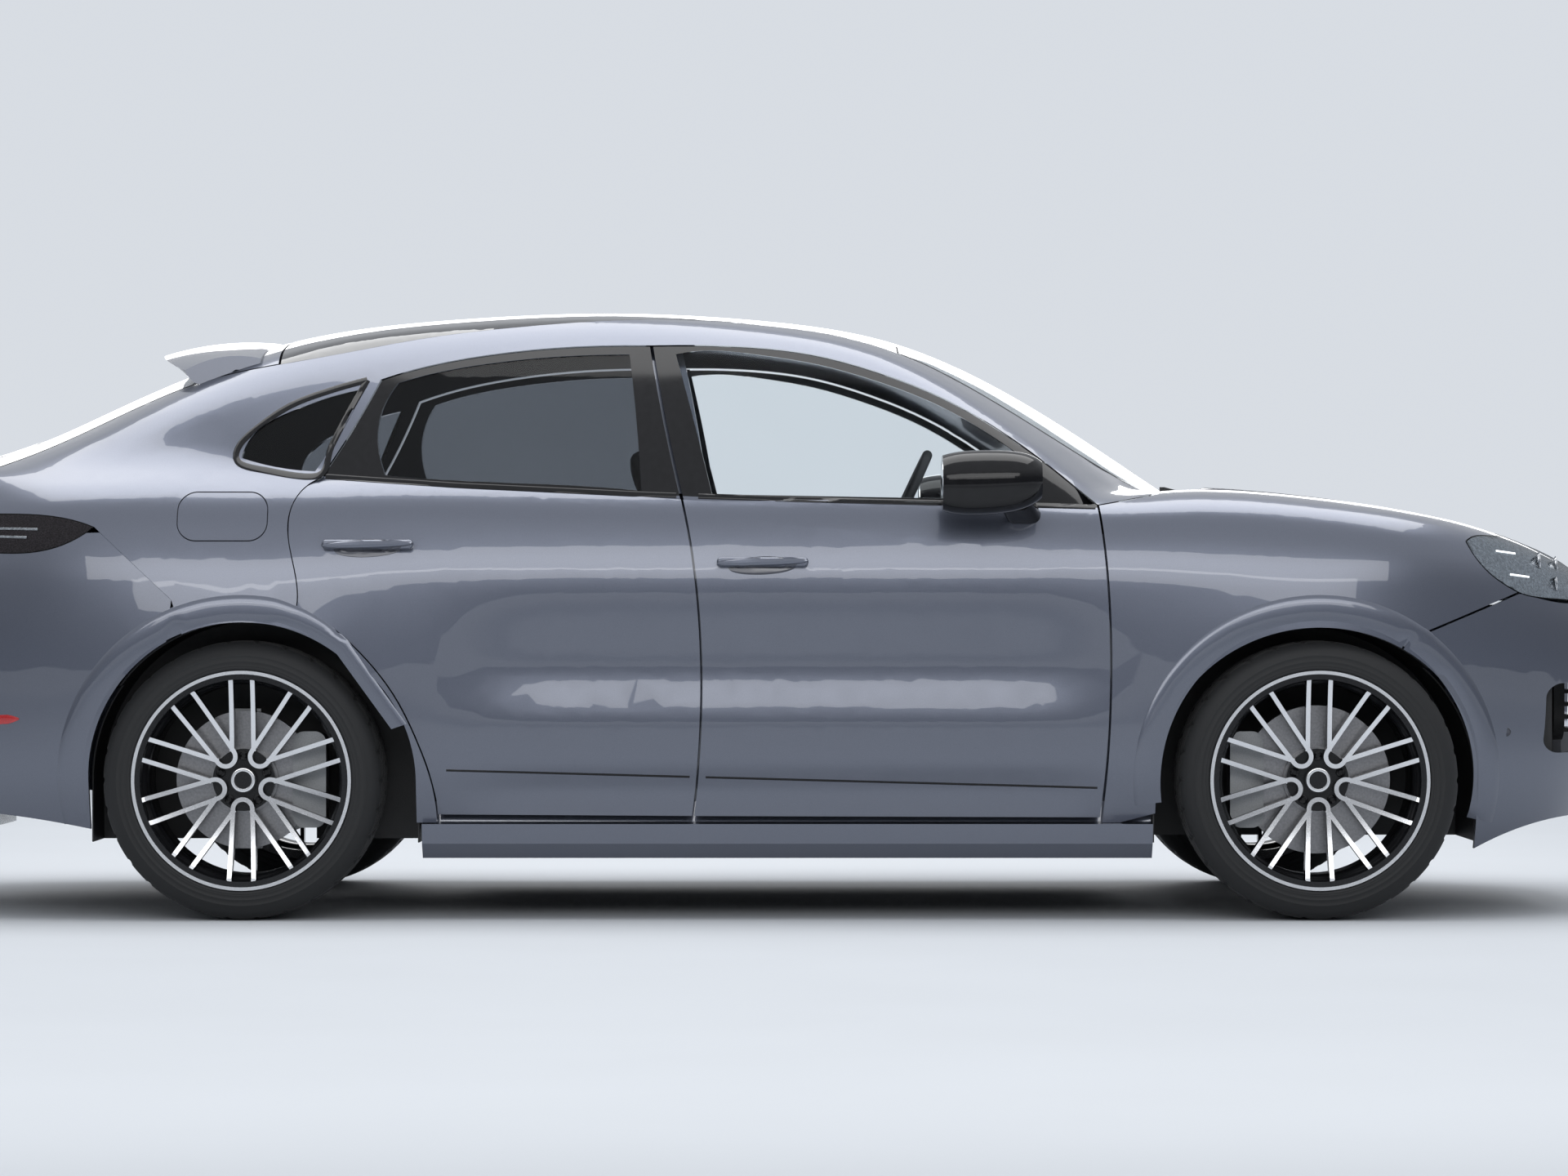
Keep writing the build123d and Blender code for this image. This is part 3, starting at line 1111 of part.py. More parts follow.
corners = {"front": (F, FRONT_DISC_RADIUS, 180), "rear": (R, REAR_DISC_RADIUS, 0)}
for end, (axle, disc_radius, turn) in corners.items():
    write_pair(on_right(tyre.part, axle), f"{end}_tyre")
    write_pair(on_right(rim.part, axle), f"{end}_rim")
    write_pair(on_right(disc(disc_radius), axle), f"{end}_brake_disc")
write_pair(on_right(knuckle(FRONT_DISC_RADIUS, 180), F), "front_knuckle")

with BuildPart() as rear_axle:
    add(on_right(knuckle(REAR_DISC_RADIUS, 0), R))
    mirror(about=Plane.XZ)
    with Locations(Location((R, 0, AXLE), (90, 0, 0))):
        Cylinder(24, TRACK - 130)
    with Locations((R, 0, AXLE - 10)):
        Box(260, 360, 190)
    with Locations((R, -140, BOOT_FLOOR - FLOOR_DEPTH - SEAT_CLEARANCE - 85), (R, 140, BOOT_FLOOR - FLOOR_DEPTH - SEAT_CLEARANCE - 85)):
        Box(80, 60, 170)
    with Locations((R + 60, 0, 250)):
        Box(90, TRACK - 160, 50)
write(rear_axle.part, "rear_axle")
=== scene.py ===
# %% [markdown]
# # A coupe sport utility vehicle, dressed for the studio
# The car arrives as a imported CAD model: painted panels, glass, wheels and cabin, already in
# place and already able to move. This lesson gives those parts their finishes, adds what a
# drawing leaves out, such as tread, trim strips, lamp insides and padded seats, and then
# sets up a plain studio around the car.

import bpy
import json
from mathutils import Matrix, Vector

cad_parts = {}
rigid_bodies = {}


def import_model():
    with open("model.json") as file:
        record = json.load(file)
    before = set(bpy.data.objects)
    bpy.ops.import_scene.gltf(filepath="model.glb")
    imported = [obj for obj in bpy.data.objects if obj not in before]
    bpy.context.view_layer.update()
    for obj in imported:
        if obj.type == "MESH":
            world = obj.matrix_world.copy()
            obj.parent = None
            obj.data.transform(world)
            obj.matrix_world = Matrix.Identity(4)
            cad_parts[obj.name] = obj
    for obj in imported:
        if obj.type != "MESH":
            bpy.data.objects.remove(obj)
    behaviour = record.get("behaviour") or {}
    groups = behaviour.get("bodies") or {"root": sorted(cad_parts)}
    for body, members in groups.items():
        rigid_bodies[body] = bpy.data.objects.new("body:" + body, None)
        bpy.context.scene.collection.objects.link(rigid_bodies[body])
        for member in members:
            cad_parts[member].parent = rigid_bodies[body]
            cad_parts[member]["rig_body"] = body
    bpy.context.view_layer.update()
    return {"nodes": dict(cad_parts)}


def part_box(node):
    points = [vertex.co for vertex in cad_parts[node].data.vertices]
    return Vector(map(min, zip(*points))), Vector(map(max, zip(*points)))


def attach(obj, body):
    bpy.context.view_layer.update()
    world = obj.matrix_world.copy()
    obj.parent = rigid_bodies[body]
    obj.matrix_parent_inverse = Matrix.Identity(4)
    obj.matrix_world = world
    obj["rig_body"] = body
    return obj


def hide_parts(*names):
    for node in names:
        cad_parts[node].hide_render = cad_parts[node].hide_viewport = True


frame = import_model()
nodes = frame["nodes"]

# %% Tools used all through
import json
from math import cos, exp, pi, radians, sin, sqrt

import bmesh
import bpy
from mathutils import Matrix, Vector
from mathutils.bvhtree import BVHTree

SIDES = {"right": -1, "left": 1}
FRONT_AXLE = (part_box("front_tyre_right")[0].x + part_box("front_tyre_right")[1].x) / 2
REAR_AXLE = (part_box("rear_tyre_right")[0].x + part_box("rear_tyre_right")[1].x) / 2
print("axles at x", round(FRONT_AXLE, 3), "and", round(REAR_AXLE, 3))

# %% [markdown]
# ## Finishes
# Every finish is a small node tree around one Principled shader. A constant, such as the
# sheen of leather, is set on the shader's own socket. What varies over the surface, such as
# flakes in paint or grain in plastic, comes from noise in object space, so it sticks to a
# door when the door opens. Two helpers cover most finishes: one starts a material, the
# other adds grain.

# %% Helpers that start a finish and give it grain
def finish(name, colour, roughness, **sockets):
    """A material around one Principled shader. Sockets are named with _ for a space."""
    material = bpy.data.materials.new(name)
    material.use_nodes = True
    shader = material.node_tree.nodes["Principled BSDF"]
    shader.inputs["Base Color"].default_value = (*colour, 1)
    shader.inputs["Roughness"].default_value = roughness
    for socket, value in sockets.items():
        shader.inputs[socket.replace("_", " ")].default_value = value
    material.diffuse_color = (*colour, 1)
    return material


def grained(material, scale, depth, tint=0.12, roughness_change=0.1, texture="ShaderNodeTexNoise"):
    """Adds bump, a slight change of colour and a change of roughness from one texture."""
    tree = material.node_tree
    shader = tree.nodes["Principled BSDF"]
    place = tree.nodes.new("ShaderNodeTexCoord")
    grain = tree.nodes.new(texture)
    grain.inputs["Scale"].default_value = scale
    value = grain.outputs["Distance" if texture == "ShaderNodeTexVoronoi" else "Fac"]
    tree.links.new(place.outputs["Object"], grain.inputs["Vector"])
    if depth:
        bump = tree.nodes.new("ShaderNodeBump")
        bump.inputs["Strength"].default_value = 0.6
        bump.inputs["Distance"].default_value = depth
        tree.links.new(value, bump.inputs["Height"])
        tree.links.new(bump.outputs["Normal"], shader.inputs["Normal"])
    base = shader.inputs["Base Color"].default_value[:3]
    ramp = tree.nodes.new("ShaderNodeValToRGB")
    ramp.color_ramp.elements[0].position, ramp.color_ramp.elements[1].position = 0.3, 0.7
    ramp.color_ramp.elements[0].color = (*[c * (1 - tint) for c in base], 1)
    ramp.color_ramp.elements[1].color = (*[min(1, c * (1 + tint)) for c in base], 1)
    tree.links.new(value, ramp.inputs["Fac"])
    tree.links.new(ramp.outputs["Color"], shader.inputs["Base Color"])
    if roughness_change:
        middle = shader.inputs["Roughness"].default_value
        spread = tree.nodes.new("ShaderNodeMapRange")
        spread.inputs["To Min"].default_value = max(0, middle - roughness_change)
        spread.inputs["To Max"].default_value = min(1, middle + roughness_change)
        tree.links.new(value, spread.inputs["Value"])
        tree.links.new(spread.outputs["Result"], shader.inputs["Roughness"])
    return material


# %% [markdown]
# The car wears a slate grey-blue metallic paint. Real metallic paint is aluminium flakes
# in a coloured coat under clear lacquer: the flakes give a wide soft sheen and the lacquer a
# second, sharp reflection. So the shader is partly metallic with middling roughness, and has
# a smooth coat. Very fine noise stands for the flakes.

# %% Paint
paint = finish("slate_metallic_paint", (0.118, 0.131, 0.170), 0.30, Metallic=0.70,
               Coat_Weight=1.0, Coat_Roughness=0.02, Coat_IOR=1.55)
grained(paint, 900, 0, tint=0.10, roughness_change=0.05)
print("paint:", paint.name)

# %% [markdown]
# The glass is real transmitting glass. The front windows and the windshield are clear with
# a faint cool tint. The rear windows are privacy glass and the roof is nearly black, so
# their colour is dark: light is filtered by it once on the way in and once on the way out.

# %% Glass and lenses
clear_glass = finish("clear_window_glass", (0.93, 0.96, 0.97), 0.0, Transmission_Weight=1.0, IOR=1.12)
grained(clear_glass, 2, 0, tint=0.01, roughness_change=0)
privacy_glass = finish("privacy_glass", (0.34, 0.36, 0.385), 0.0, Transmission_Weight=1.0, IOR=1.25)
grained(privacy_glass, 2, 0, tint=0.03, roughness_change=0)
roof_tint = finish("roof_glass_tint", (0.012, 0.013, 0.016), 0.03, Coat_Weight=1.0, Coat_Roughness=0.01)
grained(roof_tint, 3, 0, tint=0.10, roughness_change=0.01)
lamp_lens = finish("clear_lamp_lens", (0.90, 0.93, 0.96), 0.02, Transmission_Weight=1.0, IOR=1.2)
grained(lamp_lens, 30, 0, tint=0.02, roughness_change=0)
smoked_lens = finish("smoked_tail_lens", (0.16, 0.13, 0.14), 0.03, Transmission_Weight=1.0, IOR=1.3)
grained(smoked_lens, 40, 0, tint=0.05, roughness_change=0)

# %% [markdown]
# The dark finishes differ mostly in how they scatter light: gloss black trim mirrors the
# studio, moulded plastic has a fine pebble grain, rubber is dull with a dusty bloom, and the
# floor's coating under the car is rough and uneven.

# %% Dark finishes
gloss_black = finish("piano_black_trim", (0.006, 0.006, 0.007), 0.09, Specular_IOR_Level=0.35)
grained(gloss_black, 60, 0, tint=0.2, roughness_change=0.02)
black_plastic = finish("grained_black_plastic", (0.014, 0.0145, 0.016), 0.5)
grained(black_plastic, 700, 0.0004, tint=0.25, texture="ShaderNodeTexVoronoi")
cabin_plastic = finish("soft_cabin_plastic", (0.035, 0.036, 0.040), 0.55)
grained(cabin_plastic, 500, 0.0003, tint=0.2, texture="ShaderNodeTexVoronoi")
rubber = finish("tyre_rubber", (0.0075, 0.008, 0.009), 0.68, Sheen_Weight=0.04, Sheen_Roughness=0.5)
grained(rubber, 260, 0.0003, tint=0.3, roughness_change=0.12)
underseal = finish("stone_chip_underseal", (0.020, 0.020, 0.021), 0.8)
grained(underseal, 180, 0.0012, tint=0.3)

# %% [markdown]
# Metals: the wheels' faces are turned bright on a lathe and lacquered, their flanks stay
# gloss black. Brake discs are iron with fine rings from the pads. The exhaust tips are
# brushed steel, and the engine and subframes are sandblasted aluminium.

# %% Metals and leather
bright_alloy = finish("turned_alloy_face", (0.74, 0.75, 0.77), 0.24, Metallic=1.0, Coat_Weight=0.6,
                      Coat_Roughness=0.04)
grained(bright_alloy, 420, 0.00002, tint=0.04, roughness_change=0.05)
wheel_black = finish("gloss_black_wheel_paint", (0.010, 0.0105, 0.012), 0.2, Specular_IOR_Level=0.35)
grained(wheel_black, 300, 0, tint=0.2, roughness_change=0.03)
disc_iron = finish("machined_disc_iron", (0.30, 0.30, 0.31), 0.34, Metallic=1.0, Anisotropic=0.5)
grained(disc_iron, 160, 0.00006, tint=0.12)
cast_aluminium = finish("cast_aluminium", (0.30, 0.31, 0.32), 0.5, Metallic=0.9)
grained(cast_aluminium, 320, 0.0003, tint=0.12)
steel = finish("brushed_steel", (0.56, 0.57, 0.58), 0.25, Metallic=1.0)
grained(steel, 240, 0.00005, tint=0.06)
leather = finish("black_leather", (0.030, 0.029, 0.030), 0.46, Sheen_Weight=0.15, Sheen_Roughness=0.4)
grained(leather, 260, 0.0006, tint=0.18, texture="ShaderNodeTexVoronoi")

# %% Put a finish on every CAD node by its material slot
SLOT_FINISH = {
    "body_paint": paint, "gloss_black": gloss_black, "black_plastic": black_plastic,
    "interior_plastic": cabin_plastic, "seat_leather": leather, "underbody": underseal,
    "engine_metal": cast_aluminium, "clear_glass": clear_glass, "tinted_glass": privacy_glass,
    "lamp_lens": lamp_lens, "tail_lens": smoked_lens, "tyre_rubber": rubber,
    "rim_alloy": wheel_black, "brake_iron": disc_iron,
}
for node in nodes.values():
    for place in node.material_slots:
        place.material = SLOT_FINISH[place.material.name.split(".")[0]]
nodes["roof_glass"].material_slots[0].material = roof_tint
nodes["exhaust"].material_slots[0].material = steel
for node in ("front_knuckle_right", "front_knuckle_left", "rear_axle"):
    nodes[node].material_slots[0].material = cast_aluminium
print("finished", len(nodes), "nodes")

# %% [markdown]
# ## Panels that carry more than one finish
# A door is one pressing on the real car, yet it shows four finishes: paint outside, gloss
# black round the windows, a trim panel towards the cabin and a pale lining on the window
# frame. The CAD door has the right shape, so its mesh is copied, cut along the belt line
# under the windows, and each face gets the finish of the side it looks to.

# %% Helpers that copy a CAD node and place a new piece
def welded(node, cuts=()):
    """A copy of a CAD node's mesh with its split corners joined, cut by planes (point, normal)."""
    mesh = bpy.data.meshes.new(node + "_copy")
    shape = bmesh.new()
    shape.from_mesh(nodes[node].data)
    bmesh.ops.remove_doubles(shape, verts=shape.verts, dist=0.00001)
    for point, normal in cuts:
        everything = shape.verts[:] + shape.edges[:] + shape.faces[:]
        bmesh.ops.bisect_plane(shape, geom=everything, plane_co=point, plane_no=normal, dist=0.00001)
    shape.to_mesh(mesh)
    shape.free()
    if "custom_normal" in mesh.attributes:
        mesh.attributes.remove(mesh.attributes["custom_normal"])
    return mesh


def piece(name, mesh, body, slot, *materials, sharp=32, replaces=()):
    """Puts a mesh into the scene as a named piece that rides on a body."""
    obj = bpy.data.objects.new(name, mesh)
    bpy.context.scene.collection.objects.link(obj)
    mesh.materials.clear()
    for material in materials:
        mesh.materials.append(material)
    mesh.shade_smooth()
    mesh.set_sharp_from_angle(angle=radians(sharp))
    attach(obj, body)
    if replaces:
        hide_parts(*replaces)
    return obj


def body_of(node):
    return nodes[node]["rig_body"]


# %% The belt line under the windows, and the doors' four finishes
BELT = [(1.05, 1.112), (0.962, 1.114), (0.202, 1.132), (-0.240, 1.146), (-0.769, 1.172), (-1.122, 1.196),
        (-1.301, 1.215)]


def belt(x):
    """Height of the belt line at x, from the points either side of it."""
    for (front, high), (rear, low) in zip(BELT, BELT[1:]):
        if x >= rear:
            return low + (high - low) * (x - rear) / (front - rear)
    return BELT[-1][1]


def belt_cut(front, rear):
    """The plane through two belt points, square to the car's side."""
    return Vector((front[0], 0, front[1])), Vector((front[1] - rear[1], 0, rear[0] - front[0])).normalized()


headliner = finish("pale_headliner_cloth", (0.16, 0.165, 0.18), 0.9, Sheen_Weight=0.3)
grained(headliner, 900, 0.0002, tint=0.08)
PAINT, BLACK, CARD, LINING = range(4)
for side, sign in SIDES.items():
    for end in ("front", "rear"):
        node = f"{end}_door_{side}"
        mesh = welded(node, [belt_cut(a, b) for a, b in zip(BELT[1:], BELT[2:])])
        door = piece(node + "_dressed", mesh, body_of(node), "body_paint", paint, gloss_black, cabin_plastic,
                     headliner, replaces=[node])
        for face in mesh.polygons:
            above = face.center.z > belt(face.center.x) - 0.002
            if face.normal.y * sign < -0.25:
                face.material_index = LINING if above else CARD
            else:
                face.material_index = BLACK if above else PAINT
        print(door.name, len(mesh.polygons), "faces")

# %% [markdown]
# ## Wheels
# The rims are multi-spoke alloys: the whole wheel is painted gloss black, and then the
# outer faces of the spokes and the lip are turned bright on a lathe. The lathe touches only
# what faces outwards and stands far enough out, and the same rule picks the bright faces here.

# %% Rims with turned faces
# Distances across the car: the wheel's middle, and from there out to the lowest turned face.
WHEEL_CENTRE = 0.84
AXLE_HEIGHT = (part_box("front_tyre_right")[0].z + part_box("front_tyre_right")[1].z) / 2
TURNED_FROM = 0.0905
TURNED_INSIDE, TURNED_OUTSIDE = 0.045, 0.2695
for side, sign in SIDES.items():
    for end, axle in (("front", FRONT_AXLE), ("rear", REAR_AXLE)):
        node = f"{end}_rim_{side}"
        mesh = welded(node)
        piece(node + "_turned", mesh, body_of(node), "rim_alloy", wheel_black, bright_alloy, replaces=[node])
        for face in mesh.polygons:
            height = face.center.y * sign - WHEEL_CENTRE
            reach = sqrt((face.center.x - axle) ** 2 + (face.center.z - AXLE_HEIGHT) ** 2)
            in_reach = TURNED_INSIDE < reach < TURNED_OUTSIDE
            turned = face.normal.y * sign > 0.8 and height > TURNED_FROM and in_reach
            face.material_index = 1 if turned else 0
print(sum(face.material_index for face in mesh.polygons), "turned faces on each rim")

# %% [markdown]
# A tyre is a lathe shape with cuts in it. The profile runs from the outer bead over the
# sidewall, with the rim protector and moulded ribs, across the tread with its long grooves,
# and back. While it is spun round the axle, some points of the tread are lowered at regular
# steps, which makes the cross grooves and sipes.

# %% Tyre profile and tread
TYRE_STEPS = 240
GROOVES = (24, 70)
TREAD_RADIUS = 376
GROOVE_DEPTH = 7.5
SIDEWALL = [(280, 129), (298, 130.5), (298, 138.5), (300.5, 140.6), (303.5, 141.4), (306, 140.8), (307, 141.6),
            (309, 141.9), (310.5, 141.2), (318, 142.3), (319, 142.9), (321, 142.9), (322, 142.3), (334, 141.2),
            (335, 141.8), (337, 141.4), (338.5, 140.2), (346, 136.6), (352, 133), (358, 128.5), (364, 122.5),
            (368.5, 117), (371.5, 112)]


def tyre_profile():
    """(radius, distance out from the wheel's middle) in millimetres, from bead to bead and back inside."""
    tread = [(373, 108), (373.6, 95), (374.2, 84)]
    for groove in reversed(GROOVES):
        crown = TREAD_RADIUS - 3 * (groove / 108) ** 2
        floor = crown - GROOVE_DEPTH
        tread += [(crown, groove + 5.5), (floor, groove + 4), (floor, groove - 4), (crown, groove - 5.5)]
        tread += [(crown + 0.3, groove - 20)] if groove > 40 else []
    outer = SIDEWALL + tread
    lining = [(280, -112), (324, -126), (346, -118), (360, -92), (360, 92), (346, 118), (324, 126), (280, 112)]
    return outer + [(radius, -out) for radius, out in reversed(outer)] + lining


def cut_depth(out, step):
    """How far a tread point is lowered at a step round the tyre: cross grooves outside, sipes inside."""
    if 76 < abs(out) <= 112:
        return 6.0 if step % 8 == 0 else 0
    if 29 < abs(out) < 66:
        return 4.0 if (step + (3 if out > 0 else 0)) % 8 == 4 else 0
    return 0


def tyre_mesh(name, axle, sign):
    """The profile spun round the axle, with the tread's cross grooves cut as it goes."""
    profile = tyre_profile()
    points = []
    for step in range(TYRE_STEPS):
        turn = 2 * pi * step / TYRE_STEPS
        for radius, out in profile:
            reach = (radius - (cut_depth(out, step) if radius > 370 else 0)) / 1000
            points.append((axle + reach * cos(turn), sign * (WHEEL_CENTRE + out / 1000),
                           AXLE_HEIGHT + reach * sin(turn)))
    count = len(profile)
    faces = [(s * count + p, s * count + (p + 1) % count, (s + 1) % TYRE_STEPS * count + (p + 1) % count,
              (s + 1) % TYRE_STEPS * count + p) for s in range(TYRE_STEPS) for p in range(count)]
    mesh = bpy.data.meshes.new(name)
    mesh.from_pydata(points, [], faces if sign < 0 else [face[::-1] for face in faces])
    return mesh


for side, sign in SIDES.items():
    for end, axle in (("front", FRONT_AXLE), ("rear", REAR_AXLE)):
        node = f"{end}_tyre_{side}"
        tyre = piece(node + "_treaded", tyre_mesh(node + "_treaded", axle, sign), body_of(node), "tyre_rubber",
                     rubber, sharp=38, replaces=[node])
print("tyre:", len(tyre.data.polygons), "faces")


# %% Wheel bolts, cap ring and turned lip
def turned_part(name, profile, place, sign, steps=32):
    """A small part spun from (radius, out) millimetres round an axis square to the car's side."""
    points = [(place[0] + r / 1000 * cos(2 * pi * s / steps), place[1] + sign * out / 1000,
               place[2] + r / 1000 * sin(2 * pi * s / steps)) for s in range(steps) for r, out in profile]
    count = len(profile)
    faces = [(s * count + p, s * count + p + 1, (s + 1) % steps * count + p + 1, (s + 1) % steps * count + p)
             for s in range(steps) for p in range(count - 1)]
    mesh = bpy.data.meshes.new(name)
    mesh.from_pydata(points, [], faces)
    shape = bmesh.new()
    shape.from_mesh(mesh)
    bmesh.ops.remove_doubles(shape, verts=shape.verts, dist=0.00001)
    bmesh.ops.recalc_face_normals(shape, faces=shape.faces)
    shape.to_mesh(mesh)
    shape.free()
    return mesh


def joined(name, meshes):
    """One mesh from several."""
    shape = bmesh.new()
    for part in meshes:
        shape.from_mesh(part)
    mesh = bpy.data.meshes.new(name)
    shape.to_mesh(mesh)
    shape.free()
    return mesh


BOLTS = 5
BOLT_CIRCLE_RADIUS = 0.065
BOLT = [(0, 3), (5.5, 3), (6, 9), (9, 11), (11.5, 9.5), (12.5, 2), (13.5, -1), (6, -2), (0, -2)]
CAP_RING = [(24, -1), (24, 1.5), (30, 2.2), (32, 1.6), (34, -1), (24, -1)]
LIP_RING = [(285.5, -0.6), (286, 0.9), (295, 1.1), (295.8, -0.6), (285.5, -0.6)]


def spoke_tip(axle, sign, fork, hand, outer):
    """The bright tip that carries one spoke up to the lip. outer picks the spokes that flank a bolt."""
    turn = radians(-90 + 72 * fork + (36 * hand if outer else 0))
    across = -hand * 0.029 if outer else hand * 0.0323
    points = []
    for reach, half, low, high in ((0.262, 0.0058, 0.124, 0.1278), (0.287, 0.0062, 0.132, 0.1390)):
        for offset, out in ((-half, low), (half, low), (half, high), (-half, high)):
            rise = across + offset
            points.append((axle + reach * cos(turn) - rise * sin(turn), sign * (WHEEL_CENTRE + out),
                           AXLE_HEIGHT + reach * sin(turn) + rise * cos(turn)))
    mesh = bpy.data.meshes.new("spoke_tip")
    mesh.from_pydata(points, [], [(0, 1, 5, 4), (1, 2, 6, 5), (2, 3, 7, 6), (3, 0, 4, 7), (0, 3, 2, 1),
                                  (4, 5, 6, 7)])
    return mesh


for side, sign in SIDES.items():
    for end, axle in (("front", FRONT_AXLE), ("rear", REAR_AXLE)):
        node = f"{end}_rim_{side}"
        hub = sign * (WHEEL_CENTRE + 0.072)
        bolts = []
        for bolt in range(BOLTS):
            turn = pi / 2 + 2 * pi * bolt / BOLTS
            place = (axle + BOLT_CIRCLE_RADIUS * cos(turn), hub, AXLE_HEIGHT + BOLT_CIRCLE_RADIUS * sin(turn))
            bolts.append(turned_part("bolt", BOLT, place, sign))
        piece(node + "_bolts", joined(node + "_bolts", bolts), body_of(node), "rim_alloy", gloss_black)
        cap = turned_part("cap_ring", CAP_RING, (axle, sign * (WHEEL_CENTRE + 0.090), AXLE_HEIGHT), sign, 64)
        piece(node + "_cap_ring", cap, body_of(node), "rim_alloy", bright_alloy)
        ring = turned_part("lip_ring", LIP_RING, (axle, sign * (WHEEL_CENTRE + 0.1386), AXLE_HEIGHT), sign, 128)
        tips = [spoke_tip(axle, sign, fork, hand, outer) for fork in range(BOLTS)
                for hand, outer in ((-1, False), (1, False), (-1, True), (1, True))]
        lip = joined(node + "_turned_lip", [ring] + tips)
        piece(node + "_turned_lip", lip, body_of(node), "rim_alloy", bright_alloy)
print("bolts per wheel", len(bolts))

# %% [markdown]
# ## Trim that lies on the skin
# Belt mouldings, window surrounds, wheel-arch lips and the fine line along the doors all
# follow the body's surface. They are drawn in side view as a path, each point of the path is
# pushed in from the side until it meets the CAD skin, and a small rounded section is
# carried along it. That keeps every strip on the panel however the panel curves.

# %% Helpers that lay a strip on the skin
reshaped = {}


def skin(*names, axis=1, sign=-1):
    """Finds the outermost skin of some CAD nodes, seen along an axis (0 is x, 1 is y) from one side.
    The finder takes two coordinates across that axis and a lift, and gives a point, or None off the skin."""
    shape = bmesh.new()
    for name in names:
        shape.from_mesh(reshaped.get(name, nodes[name]).data)
    tree = BVHTree.FromBMesh(shape)
    outward = Vector((sign, 0, 0)) if axis == 0 else Vector((0, sign, 0))

    def find(across, up, lift):
        eye = Vector((0, across, up)) if axis == 0 else Vector((across, 0, up))
        place = tree.ray_cast(eye + outward * 4, -outward)[0]
        return place + outward * lift if place else None

    find.outward = outward
    return find


def smooth_path(points, step):
    """Points along a smooth curve through a few given ones, about a step apart."""
    path = []
    ends = [points[0]] + list(points) + [points[-1]]
    for before, start, stop, after in zip(ends, ends[1:], ends[2:], ends[3:]):
        length = (Vector(stop) - Vector(start)).length
        count = max(1, round(length / step))
        for i in range(count):
            t = i / count
            path.append(tuple(0.5 * (2 * b + (c - a) * t + (2 * a - 5 * b + 4 * c - d) * t**2
                                     + (3 * b - a - 3 * c + d) * t**3)
                              for a, b, c, d in zip(before, start, stop, after)))
    return path + [tuple(points[-1])]


ROUND = [(-0.5, -0.4), (-0.46, 0.5), (-0.3, 0.9), (0, 1), (0.3, 0.9), (0.46, 0.5), (0.5, -0.4)]


def strip(name, path, width, lift, find, section=ROUND, ends=None):
    """A mesh strip along a path on the skin. The section is (share of width, share of lift) pairs. ends
    tapers the width: a function of the share of the path that is done. A point that misses the skin
    goes beside its nearest neighbour, and a row that mostly misses is left out."""
    rows = []
    for i, spot in enumerate(path):
        ahead = Vector(path[min(i + 1, len(path) - 1)]) - Vector(path[max(i - 1, 0)])
        across = Vector((-ahead.y, ahead.x)).normalized()
        wide = width * (ends(i / (len(path) - 1)) if ends else 1)
        row = [find(spot[0] + across.x * share * wide, spot[1] + across.y * share * wide, height * lift)
               for share, height in section]
        if sum(point is not None for point in row) < len(row) / 2:
            continue
        off = find.outward
        for number, (share, height) in enumerate(section):
            if not row[number]:
                side_step = Vector((0, across.x, across.y)) if off.x else Vector((across.x, 0, across.y))
                nearest = min((n for n, p in enumerate(row) if p), key=lambda n: abs(n - number))
                row[number] = row[nearest] + side_step * (share - section[nearest][0]) * wide
                row[number] += off * lift * (height - section[nearest][1])
        rows.append(row)
    count = len(section)
    faces = [(r * count + c, r * count + c + 1, (r + 1) * count + c + 1, (r + 1) * count + c)
             for r in range(len(rows) - 1) for c in range(count - 1)]
    mesh = bpy.data.meshes.new(name)
    mesh.from_pydata([point for row in rows for point in row], [], faces)
    shape = bmesh.new()
    shape.from_mesh(mesh)
    bmesh.ops.recalc_face_normals(shape, faces=shape.faces)
    if sum(face.normal.dot(find.outward) * face.calc_area() for face in shape.faces) < 0:
        bmesh.ops.reverse_faces(shape, faces=shape.faces)
    shape.to_mesh(mesh)
    shape.free()
    return mesh


def flat_section(width_steps, edge=0.04):
    """A section for a wide strip: level, with a rounded edge, and enough points to follow the skin."""
    inner = [-0.5 + edge + (1 - 2 * edge) * i / width_steps for i in range(width_steps + 1)]
    near, far = [(-0.5, -0.5), (-0.5 + edge / 4, 0.6)], [(0.5 - edge / 4, 0.6), (0.5, -0.5)]
    return near + [(share, 1) for share in inner] + far


# %% Belt mouldings and window surrounds
for side, sign in SIDES.items():
    doors = {"front": (0.955, -0.118), "rear": (-0.146, -1.130)}
    for end, (start, stop) in doors.items():
        node = f"{end}_door_{side}"
        xs = [start + (stop - start) * i / 8 for i in range(9)]
        path = smooth_path([(x, belt(x)) for x in xs], 0.02)
        window = f"rear_door_window_{side}" if end == "rear" else f"front_window_{side}"
        mesh = strip(node + "_belt_moulding", path, 0.015, 0.0035, skin(node, window, sign=sign))
        piece(node + "_belt_moulding", mesh, body_of(node), "gloss_black", gloss_black)
    around = [(-1.030, 1.466), (-1.075, 1.375), (-1.118, 1.280), (-1.150, 1.199), (-1.301, 1.215), (-1.372, 1.238),
              (-1.368, 1.288), (-1.300, 1.352), (-1.224, 1.401), (-1.120, 1.440), (-1.030, 1.466)]
    mesh = strip("quarter_surround_" + side, smooth_path(around, 0.012), 0.018, 0.003,
                 skin("body_side_" + side, "quarter_glass", sign=sign))
    piece("quarter_surround_" + side, mesh, "car_body", "gloss_black", gloss_black)
print("belt mouldings and surrounds on", len(SIDES), "sides")

